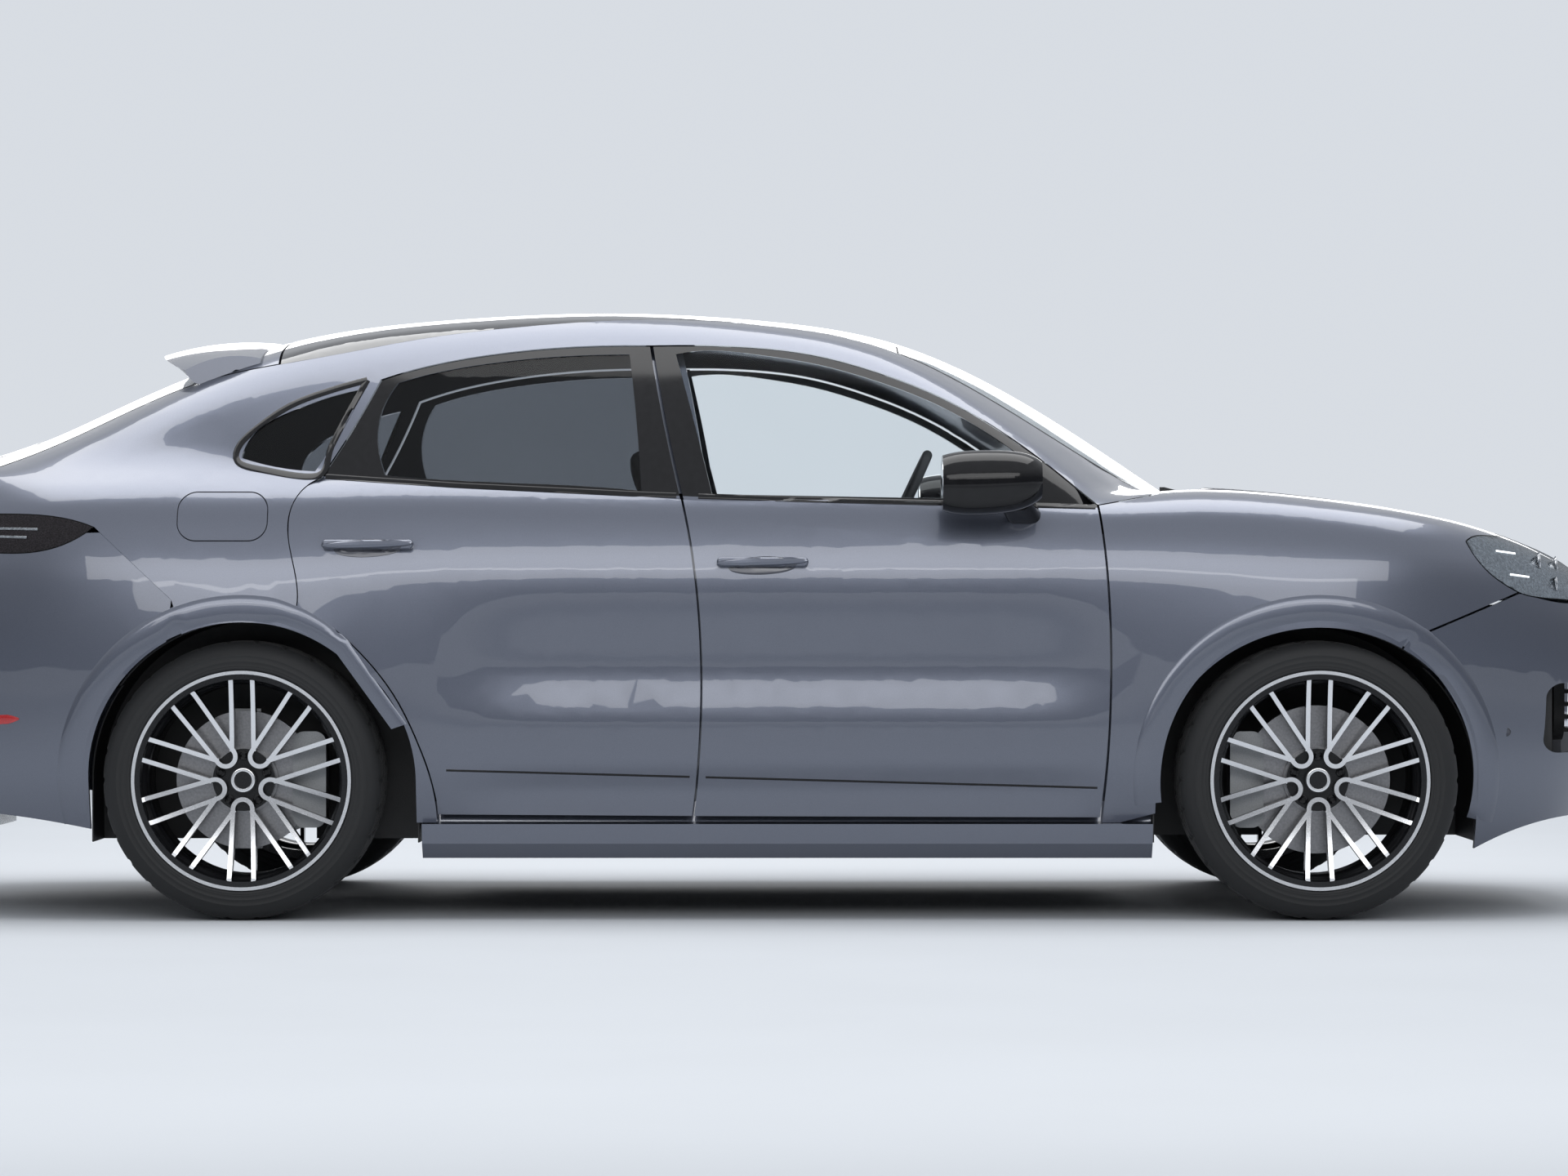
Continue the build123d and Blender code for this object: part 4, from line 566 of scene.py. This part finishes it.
# %% Wheel-arch lips and the line along the doors
# The rear doors reach close to the wheel arch, so the lip narrows there, over half a radian.
ARCH_EDGE = 0.426
LIP_WIDTH = 0.074
NARROWED_BY = 0.028
LIP_STEPS = 90
LINE_STEPS = 40
LINE_FRONT = (1.033, 0.353)
LINE_SLOPE = 0.0272
LIP = [(-0.5, -0.3), (-0.44, 0.55), (-0.3, 0.95), (-0.1, 1.0), (0.2, 0.7), (0.5, -0.1)]
for side, sign in SIDES.items():
    outside = skin("front_fender_" + side, "front_bumper", "body_side_" + side, "rear_bumper", sign=sign)
    for end, axle, first, last in (("front", FRONT_AXLE, -14, 188), ("rear", REAR_AXLE, -8, 194)):
        turns = [radians(first + (last - first) * i / LIP_STEPS) for i in range(LIP_STEPS + 1)]
        narrowed = NARROWED_BY if end == "rear" else 0
        widths = [LIP_WIDTH - narrowed * min(1, max(0, radians(80) - turn) / 0.5) for turn in turns]
        path = [(axle + (ARCH_EDGE + width / 2) * cos(turn), AXLE_HEIGHT + (ARCH_EDGE + width / 2) * sin(turn))
                for turn, width in zip(turns, widths)]
        mesh = strip(f"{end}_arch_lip_{side}", path, 1, 0.0035, outside, LIP,
                     lambda share: widths[round(share * LIP_STEPS)])
        piece(f"{end}_arch_lip_{side}", mesh, "car_body", "body_paint", paint)
    for end, (start, stop) in {"front": (0.985, -0.125), "rear": (-0.140, -0.795)}.items():
        node = f"{end}_door_{side}"
        xs = [start + (stop - start) * i / LINE_STEPS for i in range(LINE_STEPS + 1)]
        path = [(x, LINE_FRONT[1] + (LINE_FRONT[0] - x) * LINE_SLOPE) for x in xs]
        mesh = strip(node + "_feature_line", path, 0.006, 0.0012, skin(node, sign=sign))
        piece(node + "_feature_line", mesh, body_of(node), "body_paint", gloss_black)
    # A strip of body colour closes the slit where the rear bumper meets the body side.
    slit = smooth_path([(-1.700, 0.905), (-1.676, 0.860), (-1.655, 0.805)], 0.008)
    both = skin("body_side_" + side, "rear_bumper", sign=sign)
    seam = strip("bumper_seam_" + side, slit, 0.042, -0.0015, both, [(-0.5, 1.2), (-0.2, 1), (0.2, 1), (0.5, 1.2)])
    piece("bumper_seam_" + side, seam, "car_body", "body_paint", paint)
print("arch lips and feature lines done")

# %% [markdown]
# ## Door handles
# Each handle is a pull bar over a shallow lens-shaped cup in the door skin. The CAD door has
# the bar. The cup is drawn as a thin lens on the skin, in the body paint made darker: painted
# shade for the little light that reaches the recess. A slimmer bright-edged grip is laid over the bar's face.

# %% Handle cups and grips
# The cup's paint is the body paint darkened. It is painted shade, because the cup is a raised lens and no recess.
shaded_cup_paint = finish("handle_cup_shaded_paint", (0.045, 0.049, 0.066), 0.34, Metallic=0.4, Coat_Weight=1.0,
                   Coat_Roughness=0.05)
grained(shaded_cup_paint, 900, 0, tint=0.1, roughness_change=0.05)
HANDLES = {"front": ((-0.068, 0.958), (0.056, 0.9635), (0.179, 0.966)),
           "rear": ((-1.128, 1.006), (-1.005, 1.0105), (-0.883, 1.013))}
GRIP = [(-0.5, -1.2), (-0.47, 0.0), (-0.3, 0.75), (0, 1), (0.3, 0.75), (0.47, 0.0), (0.5, -1.2)]
CUP_DROP = 0.010
CUP_SHARE = 0.75


def lens(share):
    """Width along a lens, nothing at its two ends."""
    return max(0.02, sin(pi * share) ** 0.55)


for side, sign in SIDES.items():
    for end, (tail, middle, tip) in HANDLES.items():
        node = f"{end}_door_{side}"
        cup_line = [(x * CUP_SHARE + middle[0] * (1 - CUP_SHARE), z - CUP_DROP) for x, z in (tail, middle, tip)]
        cup_path = smooth_path(cup_line, 0.008)
        cup = strip(node + "_handle_cup", cup_path, 0.050, 0.0008, skin(node, sign=sign), flat_section(8), lens)
        piece(node + "_handle_cup", cup, body_of(node), "body_paint", shaded_cup_paint)
        grip_path = smooth_path([tail, middle, tip], 0.006)
        grip = strip(node + "_handle_grip", grip_path, 0.027, 0.007, skin(node, sign=sign), GRIP, lens)
        piece(node + "_handle_grip", grip, body_of(node), "body_paint", paint)
print("four handles")

# %% [markdown]
# ## Lamps
# A lamp is a clear cover over a dark bowl with the light units inside. The CAD lamp is one
# solid with the cover's shape, so the cover here is its front skin, and the bowl is the same
# skin moved a few millimetres in along its normals. The light units sit between the two.

# %% Lamp bowls, covers and running lights
lamp_bowl = finish("shaded_lamp_bowl", (0.22, 0.24, 0.26), 0.22, Metallic=0.75, Coat_Weight=0.5)
grained(lamp_bowl, 140, 0.0004, tint=0.35)
tail_bowl = finish("smoked_tail_bowl", (0.085, 0.088, 0.095), 0.18, Metallic=0.6, Coat_Weight=1.0)
grained(tail_bowl, 220, 0.0005, tint=0.5, texture="ShaderNodeTexVoronoi")
running_light = finish("running_light_white", (0.95, 0.97, 1.0), 0.3, Emission_Strength=1.1)
running_light.node_tree.nodes["Principled BSDF"].inputs["Emission Color"].default_value = (0.93, 0.97, 1.0, 1)
grained(running_light, 200, 0, tint=0.02)
tail_red = finish("tail_light_red", (0.30, 0.006, 0.008), 0.15, Emission_Strength=0.15, Coat_Weight=1.0)
tail_red.node_tree.nodes["Principled BSDF"].inputs["Emission Color"].default_value = (0.5, 0.01, 0.01, 1)
grained(tail_red, 500, 0.0004, tint=0.3, texture="ShaderNodeTexVoronoi")


def sunk(node, depth):
    """A copy of a node's mesh with its skin moved in along its normals."""
    mesh = welded(node)
    moves = [vertex.co - vertex.normal * depth for vertex in mesh.vertices]
    for vertex, place in zip(mesh.vertices, moves):
        vertex.co = place
    return mesh


piece("headlamp_bowls", sunk("headlamps", 0.004), "car_body", "lamp_lens", lamp_bowl)
piece("tail_lamp_bowls", sunk("tail_lamps", 0.004), body_of("tail_lamps"), "tail_lens", tail_bowl)
EDGE = [(-0.5, -0.5), (-0.35, 0.8), (0, 1), (0.35, 0.8), (0.5, -0.5)]
RUNNING_LIGHTS = (((2.046, 0.995), (2.105, 0.988)), ((2.082, 0.931), (2.140, 0.924)))
LIGHT_UNITS = ((0.735, 0.965, 0.026), (0.655, 0.955, 0.026), (0.735, 0.905, 0.020), (0.655, 0.898, 0.020))
for side, sign in SIDES.items():
    lamp = skin("headlamps", sign=sign)
    for number, run in enumerate(RUNNING_LIGHTS):
        light = strip(f"running_light_{side}_{number}", smooth_path(run, 0.006), 0.005, 0.0006, lamp, EDGE)
        piece(light.name, light, "car_body", "lamp_lens", running_light)
    for number, (across, up, size) in enumerate(LIGHT_UNITS):
        spot = skin("headlamps", axis=0, sign=1)(sign * across, up, -0.004)
        if spot:
            ring = [(0, -6), (size * 700, -5), (size * 850, -1), (size * 1000, 0.5), (size * 1060, -2)]
            eye = turned_part("light_unit", ring, (0, 0, 0), -1, 40)
            eye.transform(Matrix.Translation(spot) @ Matrix.Rotation(radians(90), 4, "Z"))
            piece(f"light_unit_{side}_{number}", eye, "car_body", "lamp_lens", bright_alloy)
    tail = skin("tail_lamps", sign=sign)
    for number, (height, start) in enumerate(((1.052, -1.90), (1.030, -1.93))):
        run = smooth_path([(start, height), (-2.05, height + 0.004), (-2.26, height + 0.012)], 0.01)
        bar = strip(f"tail_bar_{side}_{number}", run, 0.007, 0.0008, tail, EDGE)
        piece(bar.name, bar, body_of("tail_lamps"), "tail_lens", lamp_bowl)
    # The reflector wears the tail lamps' red, whose faint glow on a reflector is painted light: a reflector is no
    # lamp.
    run = smooth_path([(-1.945, 0.541), (-2.03, 0.538), (-2.12, 0.538)], 0.01)
    low = strip("reflector_" + side, run, 0.026, 0.002, skin("rear_bumper", sign=sign),
                ends=lambda share: min(1, 0.15 + share * 4))
    piece("reflector_" + side, low, "car_body", "tail_lens", tail_red)
print("lamps done")

# %% [markdown]
# ## The tail
# The bumper's skin is made level across the middle first. A light bar then joins the tail
# lamps, a blank number plate sits in a dark recess, and the lower bumper is a black diffuser
# with fins. They are laid on the skin as seen from behind, with the same strip helper as the
# side trim.

# %% Light bar, plate and diffuser
def straight(start, stop, height, steps=48):
    """A level path from behind, from one side of the car to the other."""
    return [(start + (stop - start) * i / steps, height) for i in range(steps + 1)]


CENTRE_BAND = 0.14
REAR_FACE = -2.3
rough = skin("rear_bumper", axis=0, sign=-1)
mesh = welded("rear_bumper")
for vertex in mesh.vertices:
    if abs(vertex.co.y) < CENTRE_BAND and vertex.co.x < REAR_FACE:
        level = rough(CENTRE_BAND, vertex.co.z, 0)
        if level and vertex.co.x < level.x + 0.012:
            vertex.co.x = level.x
reshaped["rear_bumper"] = piece("rear_bumper_smoothed", mesh, "car_body", "body_paint", paint,
                                replaces=["rear_bumper"])

gate = skin("tailgate", axis=0, sign=-1)
bumper = skin("rear_bumper", axis=0, sign=-1)
bar = strip("tail_light_bar", straight(-0.69, 0.69, 1.040), 0.034, 0.0035, gate, flat_section(4, 0.1))
piece("tail_light_bar", bar, "tailgate", "tail_lens", tail_red)
edge = strip("tail_light_bar_edge", straight(-0.70, 0.70, 1.063), 0.006, 0.004, gate)
piece("tail_light_bar_edge", edge, "tailgate", "gloss_black", gloss_black)
recess = strip("plate_recess", straight(-0.30, 0.30, 0.655), 0.150, 0.0012, bumper, flat_section(8))
piece("plate_recess", recess, "car_body", "black_plastic", black_plastic)
plate_white = finish("blank_plate_white", (0.62, 0.63, 0.64), 0.4)
grained(plate_white, 900, 0.00005, tint=0.03)
plate = strip("blank_plate", straight(-0.26, 0.26, 0.655), 0.112, 0.0032, bumper, flat_section(8))
piece("blank_plate", plate, "car_body", "black_plastic", plate_white)
diffuser = strip("diffuser", straight(-0.72, 0.72, 0.352, 96), 0.130, 0.006, bumper, flat_section(10))
piece("diffuser", diffuser, "car_body", "black_plastic", black_plastic)
FINS = 6
FIN_SPACING = 0.16
for number in range(FINS):
    across = FIN_SPACING * (number - (FINS - 1) / 2)
    run = [(across, 0.300 + 0.10 * i / 12) for i in range(13)]
    fin = strip(f"diffuser_fin_{number}", run, 0.012, 0.020, bumper)
    piece(fin.name, fin, "car_body", "black_plastic", black_plastic)
TIP = [(36, -16), (38, 3), (42, 4), (45, 2), (46, -10), (46, -20)]
for side, sign in SIDES.items():
    for number, across in enumerate((0.50, 0.62)):
        spot = bumper(sign * across, 0.345, 0)
        tip = turned_part("tip", TIP, (0, 0, 0), -1, 48)
        tip.transform(Matrix.Translation(spot) @ Matrix.Rotation(radians(-90), 4, "Z"))
        piece(f"exhaust_tip_{side}_{number}", tip, "car_body", "engine_metal", steel)
        # A dark disc closes each tip just inside its rim. Its darkness is the pipe's soot, and also painted shade
        # for the pipe's deep inside.
        throat = turned_part("throat", [(0, 1.0), (38, 1.5)], (0, 0, 0), -1, 48)
        throat.transform(Matrix.Translation(spot) @ Matrix.Rotation(radians(-90), 4, "Z"))
        piece(f"exhaust_throat_{side}_{number}", throat, "car_body", "engine_metal", underseal)
print("tail done")

# %% [markdown]
# ## The front
# A round parking sensor sits in each corner of the bumper, and a slim daytime light runs
# over each side intake. Both are small pieces laid on the skin like the rest of the trim.

# %% Sensors and intake lights
SENSOR = [(0, 1.2), (8.5, 1.4), (9.2, 0.4), (10.2, 0.4), (10.8, 1.6), (12, 0.2)]
nose = skin("front_bumper", axis=0, sign=1)
for side, sign in SIDES.items():
    flank = skin("front_bumper", sign=sign)
    spot = flank(2.069, 0.504, -0.0012)
    eye = turned_part("sensor", SENSOR, spot, sign, 40)
    # The sensor wears the handle cup's darkened paint, so it carries the same painted shade.
    piece(f"parking_sensor_{side}_0", eye, "car_body", "body_paint", shaded_cup_paint)
    start, stop = (0.48, 0.66) if sign > 0 else (-0.66, -0.48)
    run = [(start + (stop - start) * i / 16, 0.640) for i in range(17)]
    light = strip("intake_light_" + side, run, 0.012, 0.003, nose)
    if len(light.vertices):
        piece("intake_light_" + side, light, "car_body", "lamp_lens", running_light)
print("front details done")

# %% [markdown]
# ## Mirrors
# The mirror glass faces back along the car. It is a flat-toned chrome face with a dark rim,
# laid on the rear of each mirror housing.

# %% Mirror glass
mirror_chrome = finish("mirror_glass", (0.80, 0.82, 0.84), 0.02, Metallic=1.0)
grained(mirror_chrome, 5, 0, tint=0.01, roughness_change=0)
for side, sign in SIDES.items():
    node = "door_mirror_" + side
    low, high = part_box(node)
    tip = high.y if sign > 0 else low.y
    start, stop = sorted((tip - sign * 0.020, tip - sign * 0.185))
    level = low.z * 0.38 + high.z * 0.62
    run = [(start + (stop - start) * i / 20, level) for i in range(21)]
    glass = strip(node + "_glass", run, 0.100, 0.0012, skin(node, axis=0, sign=-1), flat_section(8), lens)
    if len(glass.vertices):
        piece(node + "_glass", glass, body_of(node), "gloss_black", mirror_chrome)
print("mirror glass done")

# %% [markdown]
# ## Seats
# The seats show through the side glass and the windshield, so each is made as an upholsterer
# would: separate padded parts on a hard base. Every pad starts as a rounded block a little
# smaller than the finished pad. It is remeshed to an even net and blown up by Cloth with
# inner pressure, so that its faces crown while its corners stay in. Then the sewn channels
# are pressed into it.

# %% Padded block
PAD_STEP = 0.011


def rounded_block(name, size, radius):
    """A block about the origin with every edge rounded."""
    shape = bmesh.new()
    bmesh.ops.create_cube(shape, size=1)
    bmesh.ops.scale(shape, vec=size, verts=shape.verts)
    bmesh.ops.bevel(shape, geom=shape.edges[:] + shape.verts[:], offset=radius, segments=4, profile=0.6,
                    affect="EDGES")
    mesh = bpy.data.meshes.new(name)
    shape.to_mesh(mesh)
    shape.free()
    return mesh


def baked(obj):
    """The mesh of an object with its modifiers applied."""
    return bpy.data.meshes.new_from_object(obj.evaluated_get(bpy.context.evaluated_depsgraph_get()))


def puffed(mesh, most):
    """A block blown up by cloth pressure, no point moved further than most."""
    obj = bpy.data.objects.new("pad_in_work", mesh)
    bpy.context.scene.collection.objects.link(obj)
    net = obj.modifiers.new("net", "REMESH")
    net.mode = "VOXEL"
    net.voxel_size = PAD_STEP
    obj.data = baked(obj)
    obj.modifiers.clear()
    start = [vertex.co.copy() for vertex in obj.data.vertices]
    cloth = obj.modifiers.new("cloth", "CLOTH")
    cloth.settings.use_pressure = True
    cloth.settings.uniform_pressure_force = 4
    cloth.settings.effector_weights.gravity = 0
    for number in range(1, 21):
        bpy.context.scene.frame_set(number)
    blown = baked(obj)
    obj.modifiers.clear()
    for vertex, before, after in zip(obj.data.vertices, start, blown.vertices):
        move = after.co - before
        vertex.co = before + move * min(1, most / max(move.length, 1e-9))
    bpy.context.scene.frame_set(1)
    result = obj.data
    bpy.data.objects.remove(obj)
    return result


def sewn(mesh, axis, lines, depth, width=0.008):
    """Presses sewn channels into a pad, where its coordinate along an axis is near each line."""
    for vertex in mesh.vertices:
        for line in lines:
            near = (vertex.co[axis] - line) / width
            if abs(near) < 3 and vertex.co.z > 0:
                vertex.co.z -= depth * exp(-near * near)


# %% Cushions, backs and headrests
def pad(name, size, channels, place, tilt):
    """One padded part: size of the block, sewn channels (axis, lines), where it goes and how it leans."""
    mesh = puffed(rounded_block(name, size, 0.032), 0.012)
    for axis, lines in channels:
        sewn(mesh, axis, lines, 0.006)
    mesh.transform(Matrix.Translation(place) @ Matrix.Rotation(tilt, 4, "Y"))
    obj = piece(name, mesh, "car_body", "seat_leather", leather, sharp=70)
    smoother = obj.modifiers.new("smoother", "SUBSURF")
    smoother.levels = smoother.render_levels = 1
    return obj


CUSHION_TILT = radians(-4)
BACK_TILT = radians(-90 - 17)
REAR_CHANNELS = [(1, (-0.36, -0.12, 0.12, 0.36))]
hard_parts = []
for side, sign in SIDES.items():
    centre = sign * 0.37
    pad(f"front_cushion_{side}", (0.47, 0.47, 0.115), [(1, (-0.14, 0.14))], (0.175, centre, 0.562), CUSHION_TILT)
    back = pad(f"front_back_{side}", (0.56, 0.45, 0.095), [(1, (-0.13, 0.13)), (0, (0.12,))],
               (-0.150, centre, 0.862), BACK_TILT)
    pad(f"front_headrest_{side}", (0.14, 0.25, 0.075), [], (-0.268, centre, 1.212), BACK_TILT)
    hard_parts.append(((0.44, 0.40, 0.27), (0.17, centre, 0.355)))
pad("rear_cushion", (0.46, 1.16, 0.115), REAR_CHANNELS, (-0.640, 0, 0.562), CUSHION_TILT)
pad("rear_back", (0.46, 1.16, 0.095), REAR_CHANNELS, (-0.975, 0, 0.815), BACK_TILT)
hard_parts.append(((0.42, 1.10, 0.27), (-0.64, 0, 0.355)))
bases = []
for size, place in hard_parts:
    block = rounded_block("seat_base", size, 0.02)
    block.transform(Matrix.Translation(place))
    bases.append(block)
seat_bases = piece("seat_bases", joined("seat_bases", bases), "car_body", "interior_plastic", cabin_plastic,
                   replaces=["front_seats", "rear_seat"])
print("seats done, back pad at", [round(c, 2) for c in back.data.vertices[0].co])

# %% Console and screens
console = rounded_block("centre_console", (0.62, 0.22, 0.26), 0.03)
console.transform(Matrix.Translation((0.36, 0, 0.46)))
piece("centre_console", console, "car_body", "interior_plastic", cabin_plastic)
screens = []
for across, wide in ((0.37, 0.30), (0.0, 0.30)):
    face = rounded_block("screen", (0.018, wide, 0.105), 0.006)
    face.transform(Matrix.Translation((0.660, across, 1.020)) @ Matrix.Rotation(radians(-12), 4, "Y"))
    screens.append(face)
piece("dashboard_screens", joined("dashboard_screens", screens), "car_body", "gloss_black", gloss_black)
print("console and screens done")

# %% [markdown]
# ## The studio
# A soft studio for a car is one big light overhead, as wide as the car is long, and pale
# surroundings. A glossy side mirrors what is level with it, so long, low panels of light
# beside the car draw the soft bands along its doors.

# %% Floor
BACKDROP = (0.685, 0.720, 0.770)


def studio_floor(size, edge):
    """A pale floor whose far part fades to the backdrop's colour, so that no horizon shows."""
    mesh = bpy.data.meshes.new("studio_floor")
    mesh.from_pydata([(-size, -size, 0), (size, -size, 0), (size, size, 0), (-size, size, 0)], [], [(0, 1, 2, 3)])
    floor = bpy.data.objects.new("studio_floor", mesh)
    bpy.context.scene.collection.objects.link(floor)
    material = finish("pale_studio_floor", (0.545, 0.57, 0.60), 0.75)
    grained(material, 1.5, 0, tint=0.01, roughness_change=0.03)
    tree = material.node_tree
    place = tree.nodes.new("ShaderNodeTexCoord")
    reach = tree.nodes.new("ShaderNodeVectorMath")
    reach.operation = "LENGTH"
    fade = tree.nodes.new("ShaderNodeMapRange")
    fade.inputs["From Min"].default_value, fade.inputs["From Max"].default_value = edge, edge * 2.2
    glow = tree.nodes.new("ShaderNodeEmission")
    glow.inputs["Color"].default_value = (*BACKDROP, 1)
    blend = tree.nodes.new("ShaderNodeMixShader")
    tree.links.new(place.outputs["Object"], reach.inputs[0])
    tree.links.new(reach.outputs["Value"], fade.inputs["Value"])
    tree.links.new(fade.outputs["Result"], blend.inputs["Fac"])
    tree.links.new(tree.nodes["Principled BSDF"].outputs["BSDF"], blend.inputs[1])
    tree.links.new(glow.outputs["Emission"], blend.inputs[2])
    tree.links.new(blend.outputs["Shader"], tree.nodes["Material Output"].inputs["Surface"])
    mesh.materials.append(material)
    return floor


studio_floor(60, 7.0)

# %% World: pale to the camera, plain light to the car
world = bpy.data.worlds.new("studio_world")
bpy.context.scene.world = world
world.use_nodes = True
world_tree = world.node_tree
surround = world_tree.nodes["Background"]
surround.inputs["Strength"].default_value = 0.8
direction = world_tree.nodes.new("ShaderNodeTexCoord")
split = world_tree.nodes.new("ShaderNodeSeparateXYZ")
sky = world_tree.nodes.new("ShaderNodeValToRGB")
sky.color_ramp.elements[0].position, sky.color_ramp.elements[1].position = 0.02, 0.55
sky.color_ramp.elements[0].color = (0.14, 0.15, 0.17, 1)
sky.color_ramp.elements[1].color = (0.92, 0.95, 1.0, 1)
world_tree.links.new(direction.outputs["Generated"], split.inputs["Vector"])
world_tree.links.new(split.outputs["Z"], sky.inputs["Fac"])
world_tree.links.new(sky.outputs["Color"], surround.inputs["Color"])
backdrop = world_tree.nodes.new("ShaderNodeBackground")
backdrop.inputs["Color"].default_value = (*BACKDROP, 1)
ray = world_tree.nodes.new("ShaderNodeLightPath")
seen = world_tree.nodes.new("ShaderNodeMath")
seen.operation = "MAXIMUM"
choose = world_tree.nodes.new("ShaderNodeMixShader")
world_tree.links.new(ray.outputs["Is Camera Ray"], seen.inputs[0])
world_tree.links.new(ray.outputs["Is Transmission Ray"], seen.inputs[1])
world_tree.links.new(seen.outputs["Value"], choose.inputs["Fac"])
world_tree.links.new(surround.outputs["Background"], choose.inputs[1])
world_tree.links.new(backdrop.outputs["Background"], choose.inputs[2])
world_tree.links.new(choose.outputs["Shader"], world_tree.nodes["World Output"].inputs["Surface"])


# %% Lights
def softbox(name, place, size, watts, aim=(0, 0, 0.7)):
    """A rectangular area light that points at aim."""
    lamp = bpy.data.lights.new(name, "AREA")
    lamp.shape = "RECTANGLE"
    lamp.size, lamp.size_y = size
    lamp.energy = watts
    light = bpy.data.objects.new(name, lamp)
    light.location = place
    light.rotation_euler = (Vector(aim) - Vector(place)).to_track_quat("-Z", "Y").to_euler()
    light.visible_camera = light.visible_transmission = False
    bpy.context.scene.collection.objects.link(light)
    return light


PANEL_DISTANCE = 7
softbox("overhead_softbox", (0, 0, 5.5), (8, 4), 300)
for name, sign in (("near_side", -1), ("far_side", 1)):
    softbox(name + "_softbox", (0, sign * PANEL_DISTANCE, 3.0), (9, 1.4), 100)
    softbox(name + "_low_strip", (0, sign * PANEL_DISTANCE, 2.05), (7, 0.7), 34)

# %% [markdown]
# The camera stands square to the car's right side, far back, with a long lens, so the wheels
# at both ends look nearly round and the view has little perspective.

# %% Camera
CAMERA_PLACE = (0.1135, -13.48, 0.819)
CAMERA_AIM = (0.1135, -0.98, 0.893)
camera_data = bpy.data.cameras.new("side_camera")
camera_data.lens = 107
camera_data.sensor_width = 36
camera = bpy.data.objects.new("side_camera", camera_data)
camera.location = CAMERA_PLACE
camera.rotation_euler = (Vector(CAMERA_AIM) - camera.location).to_track_quat("-Z", "Y").to_euler()
bpy.context.scene.collection.objects.link(camera)
bpy.context.scene.camera = camera
bpy.context.scene.view_settings.view_transform = "Standard"
